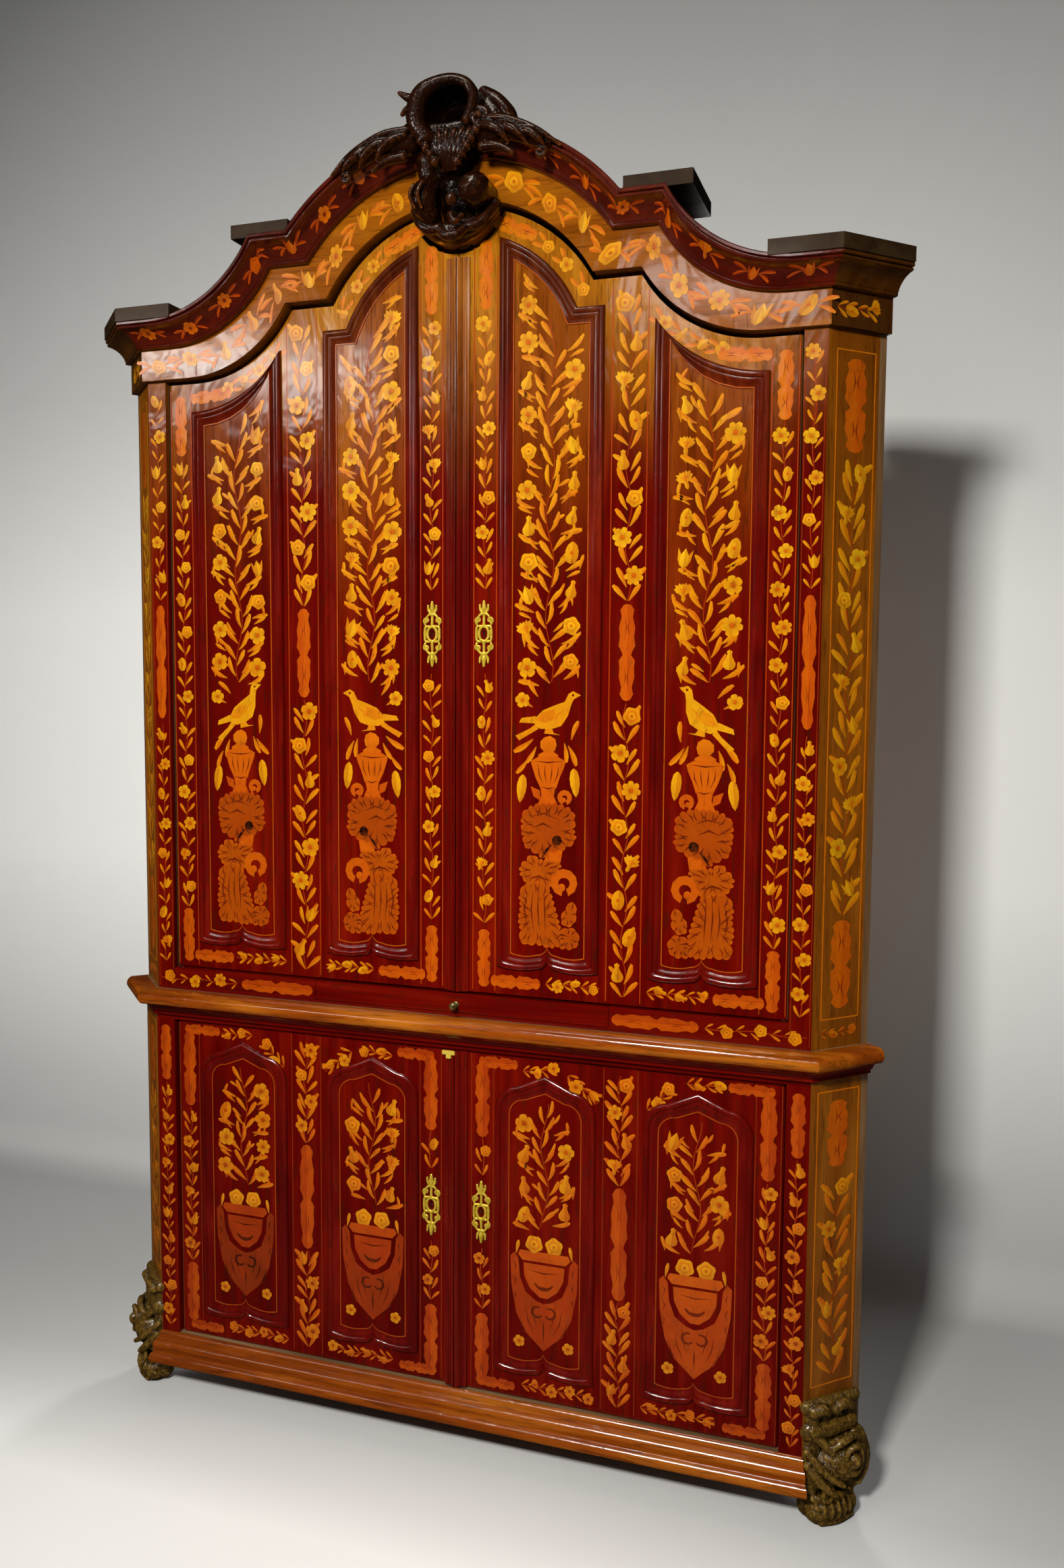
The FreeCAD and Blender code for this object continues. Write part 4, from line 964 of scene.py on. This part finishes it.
# Pedestal urn, in millimetres from the middle of its foot: finial, bowl, shell, scrolls and base
URN = [
    knot(0, 322, 15, 0.16, 1),
    cut(((-14, 296), (14, 296), (17, 306), (8, 311), (-8, 311), (-16, 306)), 0.1),
    cut(((-28, 297), (-16, 303), (16, 303), (29, 296), (27, 288), (21, 270), (13, 254), (-13, 254),
         (-19, 272), (-26, 288)), 0.06),
    cut(((-12, 256), (13, 256), (11, 242), (18, 226), (-16, 226), (-9, 242)), 0.02),
    cut(((14, 250), (29, 256), (24, 240), (12, 234)), -0.03),
    *leafage(((33, 219), (14, 226), (-16, 227), (-37, 219), (-42, 206), (-39, 191), (-43, 174),
              (-30, 164), (-18, 158), (-2, 156), (6, 144), (14, 151), (28, 158), (39, 165), (36, 178),
              (43, 185), (38, 196), (43, 206)), 11, 5, -0.05),
    cut(((-1, 156), (-13, 163), (-24, 155), (-21, 137), (-6, 134), (5, 140)), 0.02),
    *leafage(((44, 128), (34, 136), (26, 146), (16, 137), (-2, 138), (-20, 136), (-13, 122), (-5, 108),
              (2, 96), (12, 104), (30, 104), (41, 112)), 10, 5, 0.03),
    *leafage(((38, 98), (22, 104), (4, 100), (-3, 88), (-9, 68), (-15, 48), (-20, 30), (-22, 8),
              (-4, 3), (18, 8), (32, 5), (44, 9), (42, 26), (46, 44), (42, 64), (45, 82)), 12, 4),
    *leafage(((-20, 26), (-34, 33), (-47, 30), (-51, 14), (-42, 3), (-20, 4)), 11, 4, -0.03),
    ring_cut(complex(-27, 240), 12, 5, -70, 250, 0.02), knot(-25, 236, 4.5, 0.02, 1),
    ring_cut(complex(-27, 106), 22, 11, -80, 250, 0.03), knot(-23, 98, 7, 0.03, 1),
    *leafage(((-31, 38), (-24, 46), (-30, 62), (-42, 76), (-46, 58), (-42, 42)), 14, 4),
    knot(-15, 172, 9, -0.5, 2), engraved((-9, 168), (2, 156), (12, 140), width=5, shift=-0.42),
    *(engraved((x, 92), (1.25 * x - 3, 60), (1.1 * x - 4, 24), width=2.6) for x in (6, 15, 24, 33)),
    *(engraved((0.6 * x, 292), (0.55 * x, 276), (0.3 * x, 260), width=2) for x in (-28, -10, 10, 28)),
    engraved((-24, 297), (0, 294), (25, 296)), engraved((-12, 256), (0, 253), (12, 256)),
    engraved((34, 108), (14, 114), (-4, 106), width=4), engraved((30, 208), (6, 214), (-20, 204)),
    engraved((26, 190), (8, 198), (-10, 190), width=4), engraved((-38, 20), (-24, 24), (-8, 12)),
]
# Shield urn of the lower doors, in millimetres from its point: wings, bowl, lip and scrolls
SHIELD = [
    cut(((0, 0), (15, 14), (36, 32), (54, 68), (64, 122), (66, 176), (58, 184), (50, 172), (47, 138),
         (36, 110), (16, 96), (0, 91), (-16, 96), (-36, 110), (-47, 138), (-50, 172), (-58, 184),
         (-66, 176), (-64, 122), (-54, 68), (-36, 32), (-15, 14))),
    cut(((-40, 166), (40, 166), (38, 140), (27, 118), (8, 103), (-8, 103), (-27, 118),
         (-38, 140)), 0.05),
    cut(((-47, 190), (47, 190), (51, 181), (42, 171), (-42, 171), (-51, 181)), 0.1),
    ring_cut(complex(-13, 74), 12, 9, 60, 330, -0.2, 2),
    ring_cut(complex(13, 74), 12, 9, 120, -150, -0.2, 2),
    ring_cut(complex(0, 136), 20, 17, 200, 340, -0.18, 2),
    engraved((0, 60), (0, 40), (0, 12), width=3, shift=-0.2),
    engraved((-32, 154), (0, 150), (32, 154), shift=-0.2),
    *(engraved((s * x, 136 - 1.4 * x), (0.86 * s * x, 96 - 1.1 * x), (0.5 * s * x, 62 - 0.9 * x),
               shift=-0.18) for s in (1, -1) for x in (24, 36, 48)),
    *(engraved((s * 60, z), (s * 55, z - 10), (s * 58, z - 22), shift=-0.18)
      for s in (1, -1) for z in (168, 140, 112)),
]
# Bird, facing left, one unit across: body, wing, tail feathers, foot and eye
BIRD = [
    cut(((-0.5, 0.31), (-0.38, 0.37), (-0.31, 0.33), (-0.25, 0.21), (-0.08, 0.15), (0.09, 0.08),
         (0.2, -0.03), (0.22, -0.15), (0.13, -0.2), (-0.05, -0.2), (-0.2, -0.15), (-0.3, 0.0),
         (-0.35, 0.16), (-0.39, 0.25))),
    cut(((-0.08, 0.1), (0.1, 0.05), (0.2, -0.07), (0.05, -0.11), (-0.12, -0.04)), -0.14, 2),
    cut(((0.2, -0.01), (0.43, -0.04), (0.47, -0.11), (0.2, -0.12)), 0.02),
    cut(((0.21, -0.13), (0.3, -0.2), (0.53, -0.31), (0.47, -0.38), (0.16, -0.2)), -0.06),
    cut(((0.05, -0.19), (-0.05, -0.19), (-0.08, -0.26), (-0.19, -0.29), (0.07, -0.27)), -0.1),
    knot(-0.38, 0.31, 0.022, -0.7, 3),
    engraved((-0.28, 0.1), (-0.14, 0.02), (-0.1, -0.12), width=0.018),
    engraved((0.04, -0.04), (0.14, -0.04), (0.21, -0.06), width=0.018),
]
DROP = both(((0, -1.1), (0.2, -0.8), (0.36, -0.2), (0.38, 0.3), (0.28, 0.8), (0.1, 1.02),
             (0, 1.06)), 0.04)


def mirror_cuts(cuts):
    return [([(complex(-p.real, p.imag), burn) for p, burn in outline[::-1]], shift, level)
            for outline, shift, level in cuts]


def front_field(sign, y):
    return lambda u, v, lift: Vector((sign * u, y - lift, v))


def cant_field(sign, out):
    """Canted face: u runs from the front corner towards the wall."""
    x, y = corner_at(out)
    slope = math.sqrt(0.5)
    return lambda u, v, lift: Vector((sign * (x + (u + lift) * slope), y + (u - lift) * slope, v))


def string_loop(ground, loop, inset, width, tone):
    """Stringing that follows a panel's outline."""
    outer = [complex(*p) * MM for p in traced(loop(inset), 6)]
    inner = [complex(*p) * MM for p in traced(loop(inset + width), 6)]
    for i, here in enumerate(outer):
        j = (i + 1) % len(outer)
        lay(ground, [(p, 0.5) for p in (here, outer[j], inner[j], inner[i])], tone)


def hood_spot(offset, x):
    """Place and direction on a hood line at a distance from the middle."""
    line = [complex(*p) for p in hood_line(offset, HALF_FRONT, 2)]
    here, after = next((a, b) for a, b in zip(line, line[1:]) if a.real >= x > b.real)
    step = after - here
    return here + (here.real - x) / (here.real - after.real) * step, cmath.phase(step)


def inner_top(u):
    radius = HOOD_RADIUS - 0.051 - 0.042
    arch = HOOD_CENTRE + math.sqrt(max(radius ** 2 - u * u, 0.0))
    return arch if u < 0.190 else 2.030


def outer_top(u):
    share = min(max((u - 0.391) / 0.119, 0), 1)
    return 1.902 + 0.085 * (1 - share) ** 2


def pointed_top(centre):
    return lambda u: 0.700 - 0.055 * min(abs(u - centre) / 0.06, 1) ** 1.4


# Inlay of the doors and the case: an urn and a plant on each panel, with birds on the upper ones,
# batons and vines on frames, stiles and canted sides; the left side mirrors the right's layout.
# The keyhole is a black cut laid on the face: painted shade where the hole would show dark.
KEYHOLE_PAINTED_SHADE = [disc(1.0, count=10, shade=0), cut(((-0.6, 0), (0.6, 0), (0.8, -2.6), (-0.8, -2.6)))]
INNER_STILE, MUNTIN, OUTER_STILE = 0.0515, 0.312, 0.572
INNER_MIDDLE, OUTER_MIDDLE = 0.172, 0.4505
STRINGS = 0.030, 0.073, 0.281, 0.343, 0.550, 0.594
PANEL_SINK = 0.0012
LEVEL = math.pi / 2
URN_LEAVES = ((0.029, 1.335, 0.042, -2.3), (-0.036, 1.325, 0.038, 2.58), (-0.029, 1.329, 0.034, 2.87),
              (-0.042, 1.335, 0.035, 0.2), (0.023, 1.322, 0.034, -2.75), (0.038, 1.30, 0.034, -2.6),
              (0.03, 1.392, 0.034, -1.1), (0.02, 1.41, 0.034, -0.7))


def door_ground(storey, side, inset, width, tone):
    """Face of a door to inlay, with its keyhole in painted shade and the stringing round its panels cut
    first.
    """
    sheet, face, sign = sheets[f"{storey}_door_{side}"], DOOR[storey], SIDES[side]
    ground = sheet, front_field(sign, face)
    set_in(ground, KEYHOLE_PAINTED_SHADE, complex(KEY_X, KEY_Z[storey] + 0.003), 0.0032, tone=0.0)
    for loop in PANELS[storey]:
        string_loop((sheet, front_field(sign, face - PANEL_SINK)), loop, inset, width, tone)
    return ground


for side, sign in SIDES.items():
    # Upper door: on each panel an urn, a bird and a plant; batons and vines on the frame
    ground = door_ground("upper", side, 25.5, 1.6, 0.5)
    for centre, top, facing, urn, bird, lean, pale in (
            (INNER_MIDDLE, inner_top, 1, mirror_cuts(URN), mirror_cuts(BIRD), 0.0, 0.80),
            (OUTER_MIDDLE, outer_top, -1, URN, BIRD, -0.28, 0.88)):
        set_in(ground, urn, complex(centre, 0.962), 1.13 * MM, tone=0.43)
        set_in(ground, bird, complex(centre, 1.377), 0.117, lean, pale)
        for across, height, turn in ((0.050, 1.247, 0.12), (-0.049, 1.26, -0.1)):
            set_in(ground, DROP, complex(centre - facing * across, height), 0.0235, -facing * turn, 0.8)
        for across, height, long, turn in URN_LEAVES:
            spot = complex(centre - facing * across, height)
            set_in(ground, leaf(0.15), spot, long, -facing * turn, 0.68)
        set_in(ground, DAISY, complex(centre - facing * 0.049, 1.404), 0.0135, 0.2, 0.84)
        plant(ground, centre, 0.072, 1.436, top, 0.0172, 0.062)
    for x, high in zip(STRINGS, (2.19, 2.17, 2.10, 2.09, 1.985, 1.985)):
        ribbon(ground, [complex(x, 0.876), complex(x, high)], 0.0017, 0.32)
    for x, z, length, width, lean, tone in (
            (INNER_STILE, 2.142, 0.118, 0.028, 0, 0.6), (INNER_STILE, 0.935, 0.106, 0.027, 0, 0.42),
            (OUTER_STILE, 1.919, 0.112, 0.028, 0, 0.58), (OUTER_STILE, 0.934, 0.106, 0.027, 0, 0.42),
            (MUNTIN, 1.487, 0.166, 0.030, 0, 0.42), (0.112, 0.895, 0.095, 0.026, LEVEL, 0.42),
            (0.515, 0.895, 0.088, 0.026, LEVEL, 0.42)):
        strapwork(ground, complex(x, z), length, width, lean, tone)
    for x, low, high, half, size, pitch in (
            (INNER_STILE, 1.0, 1.45, 0.020, 0.0125, 0.064),
            (INNER_STILE, 1.60, 2.08, 0.020, 0.0128, 0.064),
            (MUNTIN, 0.885, 1.40, 0.035, 0.0168, 0.066), (MUNTIN, 1.575, 2.095, 0.035, 0.0168, 0.066),
            (OUTER_STILE, 0.99, 1.86, 0.020, 0.0128, 0.064)):
        vine(ground, complex(x, low), complex(x, high), half, size, pitch)
    for near, far, pitch in ((0.170, 0.270, 0.034), (0.355, 0.465, 0.036)):
        vine(ground, complex(near, 0.897), complex(far, 0.897), 0.014, 0.0105, pitch)
    for offset, x, length, width, tone in ((-0.030, 0.105, 0.085, 0.028, 0.62),
                                           (-0.036, 0.505, 0.09, 0.026, 0.6)):
        spot, lean = hood_spot(offset, x)
        strapwork(ground, spot, length, width, lean - LEVEL, tone)
    for x in (0.165, 0.198, 0.228, 0.37, 0.40, 0.435, 0.468):
        spot, lean = hood_spot(-0.030, x)
        set_in(ground, chance.choice(FLOWERS), spot, 0.0125, lean + chance.uniform(2.6, 3.6), 0.84)
        for swing in (0.5, -0.5):
            set_in(ground, leaf(0.3 * swing), spot, 0.030, lean - LEVEL + swing, 0.66)

    # Lower door: on each panel a shield urn and a plant; batons and vines on the frame
    ground = door_ground("lower", side, 26, 1.7, 0.38)
    for centre in (INNER_MIDDLE, OUTER_MIDDLE):
        set_in(ground, SHIELD, complex(centre, 0.214), 0.98 * MM, tone=0.28 + 0.13 * sign * centre)
        for across in (-0.019, 0.019):
            set_in(ground, ROSE, complex(centre + across, 0.414), 0.0185, across * 20, 0.8)
        for across in (-0.047, 0.047):
            set_in(ground, DAISY, complex(centre + across, 0.226), 0.011, 0.3, 0.7)
            spot = complex(centre + across * 1.14, 0.392)
            set_in(ground, leaf(0.0), spot, 0.026, across * 4, 0.74)
        plant(ground, centre, 0.072, 0.446, pointed_top(centre), 0.0168, 0.056)
    for x in STRINGS:
        ribbon(ground, [complex(x, 0.124), complex(x, 0.757)], 0.0016, 0.22)
    for x, z, length, width, lean in (
            (INNER_STILE, 0.672, 0.14, 0.030, 0), (INNER_STILE, 0.196, 0.14, 0.030, 0),
            (OUTER_STILE, 0.664, 0.15, 0.030, 0), (OUTER_STILE, 0.204, 0.122, 0.030, 0),
            (MUNTIN, 0.437, 0.208, 0.032, 0), (0.082, 0.744, 0.075, 0.024, LEVEL),
            (0.082, 0.136, 0.07, 0.022, LEVEL), (0.542, 0.745, 0.08, 0.022, LEVEL),
            (0.54, 0.136, 0.076, 0.022, LEVEL)):
        strapwork(ground, complex(x, z), length, width, lean, 0.35)
    for x, low, high, half, size in (
            (INNER_STILE, 0.275, 0.39, 0.020, 0.0116), (INNER_STILE, 0.53, 0.60, 0.020, 0.0116),
            (MUNTIN, 0.135, 0.33, 0.034, 0.0140), (MUNTIN, 0.545, 0.745, 0.034, 0.0140),
            (OUTER_STILE, 0.27, 0.585, 0.020, 0.012)):
        vine(ground, complex(x, low), complex(x, high), half, size, 0.05, 0.04)
    for first, last, half, size, pitch in (
            (0.13 + 0.143j, 0.27 + 0.143j, 0.014, 0.0105, 0.036),
            (0.355 + 0.143j, 0.49 + 0.143j, 0.014, 0.0105, 0.036),
            (0.13 + 0.735j, 0.20 + 0.742j, 0.014, 0.011, 0.036),
            (0.215 + 0.735j, 0.27 + 0.690j, 0.02, 0.0125, 0.04),
            (0.36 + 0.69j, 0.41 + 0.735j, 0.02, 0.0125, 0.04),
            (0.43 + 0.745j, 0.50 + 0.742j, 0.014, 0.011, 0.036)):
        vine(ground, first, last, half, size, pitch, 0.04)

    # Case: stiles and waist rail, then the canted sides within a border of pale stringing
    sheet = sheets["cabinet"]
    ground = sheet, front_field(sign, FACE)
    strapwork(ground, 0.620 + 1.47j, 0.22, 0.024, tone=0.42)
    for low, high in ((0.88, 1.35), (1.59, 1.99)):
        vine(ground, complex(0.620, low), complex(0.620, high), 0.016, 0.0125, 0.062)
    strapwork(ground, 0.372 + 0.846j, 0.155, 0.026, LEVEL, 0.38)
    vine(ground, 0.46 + 0.846j, 0.632 + 0.846j, 0.014, 0.0125, 0.055)
    for x in (0.604, 0.636):
        ribbon(ground, [complex(x, 0.83), complex(x, 2.0)], 0.0015, 0.22)
    ground = sheet, front_field(sign, FACE - STEP)
    strapwork(ground, 0.6215 + 0.695j, 0.112, 0.026, tone=0.36)
    vine(ground, 0.6215 + 0.13j, 0.6215 + 0.635j, 0.016, 0.0118, 0.052, 0.04)
    for out, near, far, low, high, batons, length, tone, vine_low, vine_high, pitch in (
            (0, 0.019, 0.098, 0.874, 1.972, (1.885, 0.966), 0.15, 0.5, 1.05, 1.80, 0.068),
            (STEP, 0.016, 0.103, 0.235, 0.751, (0.676,), 0.116, 0.48, 0.25, 0.605, 0.066)):
        ground = sheet, cant_field(sign, out)
        middle = (near + far) / 2
        ribbon(ground, [complex(*p) for p in (
            (near, low), (far, low), (far, high), (near, high), (near, low))], 0.0022, 0.62)
        for z in batons:
            strapwork(ground, complex(middle, z), length, 0.046, tone=tone)
        vine(ground, complex(middle, vine_low), complex(middle, vine_high), 0.044, 0.0165, pitch, -0.06)
        if out == 0:
            vine(ground, 0.02 + 0.85j, 0.10 + 0.85j, 0.010, 0.009, 0.04, 0.1)
    ground = sheet, cant_field(sign, FRIEZE_OUT)
    vine(ground, 0.012 + 2.034j, 0.10 + 2.034j, 0.018, 0.013, 0.042, 0.05)


# Inlay of the hood: flowers between leaves, on fields that follow the bent lines of the frieze and
# of the cornice's hollow. All cuts of a body are then one sheet, as thick as a sawn veneer.
STRIPS = 8


def bent_field(place, width):
    """Field along the hood and its length; place gives hood line and distance out by share across."""
    lines = []
    for i in range(STRIPS + 1):
        offset, out = place(i / STRIPS)
        lines.append((hood_line(offset, corner_at(out)[0]), out))
    middle = [complex(*p) for p in lines[STRIPS // 2][0]]
    marks = [0.0]
    for here, after in zip(middle, middle[1:]):
        marks.append(marks[-1] + abs(after - here))

    def at(u, v, lift):
        i = max(k for k in range(len(marks) - 1) if marks[k] <= max(u, 0.0) or k == 0)
        share = (u - marks[i]) / (marks[i + 1] - marks[i])
        level = min(max(v / width, 0.0), 0.999) * STRIPS
        points = []
        for line, out in (lines[int(level)], lines[int(level) + 1]):
            x, z = (a + (b - a) * share for a, b in zip(line[i], line[i + 1]))
            points.append(Vector((x, FACE - out - lift, z)))
        return points[0].lerp(points[1], level - int(level))
    return at, marks[-1]


def along_frieze(share):
    return FRIEZE_HIGH * share, FRIEZE_OUT


def along_cove(share):
    out, low = cove(share)
    return FRIEZE_HIGH + low, FRIEZE_OUT + out + 0.0004


CREST_HALF = 0.09
for place, width, size, pitch, tone in ((along_frieze, FRIEZE_HIGH, 0.0185, 0.072, 0.82),
                                        (along_cove, 0.042, 0.0135, 0.088, 0.5)):
    field, length = bent_field(place, width)
    ground = sheets["cabinet"], field
    count = round(length / pitch)
    for i in range(count):
        u = length * (i + 0.5) / count
        if abs(u - length / 2) < CREST_HALF:
            continue
        v = width * (0.5 + 0.08 * (-1) ** i)
        set_in(ground, chance.choice(FLOWERS), complex(u, v), size * chance.uniform(0.85, 1.1),
               chance.uniform(-0.5, 0.5), tone + chance.uniform(-0.08, 0.08))
        for out in (-1, 1):
            for swing, long in ((1.05, 1.9), (1.75, 1.7)):
                root = complex(u + out * size * 0.7, v + chance.uniform(-0.2, 0.2) * size)
                set_in(ground, leaf(0.3 * out), root, size * long,
                       -out * (swing + chance.uniform(-0.15, 0.15)), tone - 0.16)

for body, sheet in sheets.items():
    inlay = set_up(f"inlay_{body}", sheet, inlay_wood)
    backing = inlay.modifiers.new("thickness", "SOLIDIFY")
    backing.thickness = 0.6 * MM
    backing.offset = -1
    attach(inlay, body)


# Room: a pale floor that curves up into a pale wall close behind, clear to a view from the back;
# two soft lamps and four for sheen at the front, one behind; the camera stands where the
# photograph was taken, to the right of the middle.
def greys(*stops):
    return [(at, (grey,) * 3) for at, grey in stops]


plaster, start, shader, place = start_finish("room_grey", 0.85)
mist = start.noise(place, (0.5, 0.5, 0.5), 2.0, 0.0)
pale = mist.ramp((0.3, (0.71, 0.725, 0.745)), (0.7, (0.75, 0.765, 0.785)))
away, depth, height = (start.add("ShaderNodeSeparateXYZ", None, {0: place}, i) for i in range(3))
# Painted light and shade on the grey: the floor darkens towards the wall, the wall is darkest at its
# foot and top and brightest at middle height, and the wall is lighter to the left.
floor = (depth * 0.667 + 0.667).ramp(*greys(
    (0.22, 1.25), (0.30, 1.0), (0.38, 0.82), (0.47, 0.68), (0.67, 0.60), (0.95, 0.58)))
wall = (height * 0.333).ramp(*greys(
    (0.0, 0.58), (0.09, 0.68), (0.2, 0.9), (0.32, 1.1), (0.54, 1.1), (0.74, 0.82), (0.97, 0.72)))
side = (away * 0.25 + 0.6).ramp(*greys((0.1, 1.3), (0.35, 1.15), (0.65, 1.0), (0.9, 1.0)))
feed(shader, "Base Color", pale.tint(height.span(0.0, 0.05).mix(floor, wall.tint(side))))
seen = start.add("ShaderNodeLightPath", out="Is Glossy Ray")
dark = start.add("ShaderNodeBsdfDiffuse", None, {"Color": (0.02, 0.016, 0.012, 1)})
lit = Shade(plaster.node_tree, shader.outputs[0])
near = start.add("ShaderNodeMixShader", None, {0: seen, 1: lit, 2: dark})
behind = start.add("ShaderNodeNewGeometry", out="Backfacing")
clear = start.add("ShaderNodeBsdfTransparent")
far = start.add("ShaderNodeMixShader", None, {0: behind, 1: near, 2: clear})
feed(plaster.node_tree.nodes["Material Output"], "Surface", far)

ROOM_ENDS, FLOOR_BACK, BEND = (16.0, -16.0), 0.44, 0.12
curve = [(-6.0, 0.0), (FLOOR_BACK, 0.0)]
for i in range(1, 11):
    a = math.pi / 20 * i
    curve.append((FLOOR_BACK + BEND * math.sin(a), BEND - BEND * math.cos(a)))
curve.append((FLOOR_BACK + BEND, 8.0))
blank = bmesh.new()
skin(blank, [[(x, y, z) for y, z in curve] for x in ROOM_ENDS])
skin(blank, [[(x, y, 0.0) for y in (FLOOR_BACK, 6.0)] for x in ROOM_ENDS])
for face in blank.faces:
    face.smooth = True
room = set_up("room", blank, plaster)
room.visible_shadow = False

world = bpy.data.worlds.new("studio")
bpy.context.scene.world = world
world.use_nodes = True
sky = Shade(world.node_tree)
viewed, mirrored = (
    sky.add("ShaderNodeLightPath", out=f"Is {ray} Ray") for ray in ("Camera", "Glossy"))
pale, dim, grey = (
    sky.add("ShaderNodeBackground", None, {"Color": colour, "Strength": strength})
    for colour, strength in (((0.95, 0.97, 1.0, 1), 0.042), ((0.5, 0.4, 0.3, 1), 0.06),
                             ((0.6, 0.61, 0.63, 1), 1.0)))
unseen = sky.add("ShaderNodeMixShader", None, {0: mirrored, 1: pale, 2: dim})
feed(world.node_tree.nodes["World Output"], "Surface",
     sky.add("ShaderNodeMixShader", None, {0: viewed, 1: unseen, 2: grey}))

SOFT, WHITE = (1.0, 0.96, 0.88), (1.0, 0.97, 0.92)
for name, place, aim, width, height, watts, colour, spread, hidden in (
        ("front", (0.2, -2.95, 2.6), (0.2, -0.3, 0.9), 0.4, 0.35, 47, SOFT, 105, "glossy"),
        ("left", (-1.3, -2.9, 2.7), (-0.6, 0.0, 1.4), 1.3, 0.4, 12, SOFT, 105, "glossy"),
        ("sheen_right", (0.02, -2.9, 2.86), (0.0, -0.3, 1.9), 0.6, 0.16, 3.5, WHITE, 180, "diffuse"),
        ("sheen_left", (-2.0, -2.9, 2.74), (0.0, -0.3, 1.9), 1.0, 0.16, 12, WHITE, 180, "diffuse"),
        ("sheen_low", (-0.3, -3.2, 4.6), (0.0, -0.38, 0.45), 1.2, 0.4, 16,
         (1.0, 0.95, 0.88), 30, "diffuse"),
        ("sheen_top", (-0.4, -2.2, 4.4), (0.0, -0.3, 1.6), 1.2, 0.5, 18,
         (1.0, 0.9, 0.76), 180, "diffuse"),
        ("rear", (0.0, 2.2, 1.5), (0.0, 0.3, 1.2), 0.6, 0.6, 14, (1.0, 0.97, 0.93), 62, "camera")):
    light = bpy.data.lights.new(name, "AREA")
    light.shape = "RECTANGLE"
    light.size, light.size_y = width, height
    light.energy, light.color = watts, colour
    light.spread = math.radians(spread)
    holder = bpy.data.objects.new(name, light)
    holder.location = place
    holder.rotation_euler = (Vector(aim) - Vector(place)).to_track_quat("-Z", "Y").to_euler()
    setattr(holder, f"visible_{hidden}", False)
    bpy.context.scene.collection.objects.link(holder)

AZIMUTH, PITCH, ROLL = math.radians(18.63), math.radians(4.63), math.radians(0.37)
FOCAL_PIXELS, PICTURE_HIGH, SENSOR = 1847.2, 2324, 36
ahead = Vector((-math.sin(AZIMUTH) * math.cos(PITCH), math.cos(AZIMUTH) * math.cos(PITCH),
                -math.sin(PITCH)))
level = Vector((math.cos(AZIMUTH), math.sin(AZIMUTH), 0))
upward = level.cross(ahead)
across = level * math.cos(ROLL) + upward * math.sin(ROLL)
upward = upward * math.cos(ROLL) - level * math.sin(ROLL)
lens = bpy.data.cameras.new("camera")
lens.sensor_width = SENSOR
lens.lens = FOCAL_PIXELS * SENSOR / PICTURE_HIGH
camera = bpy.data.objects.new("camera", lens)
turn = Matrix((across, upward, -ahead)).transposed().to_4x4()
camera.matrix_world = Matrix.Translation((0.8463, -2.4349, 1.434)) @ turn
bpy.context.scene.collection.objects.link(camera)
bpy.context.scene.camera = camera
bpy.context.scene.view_settings.view_transform = "Standard"
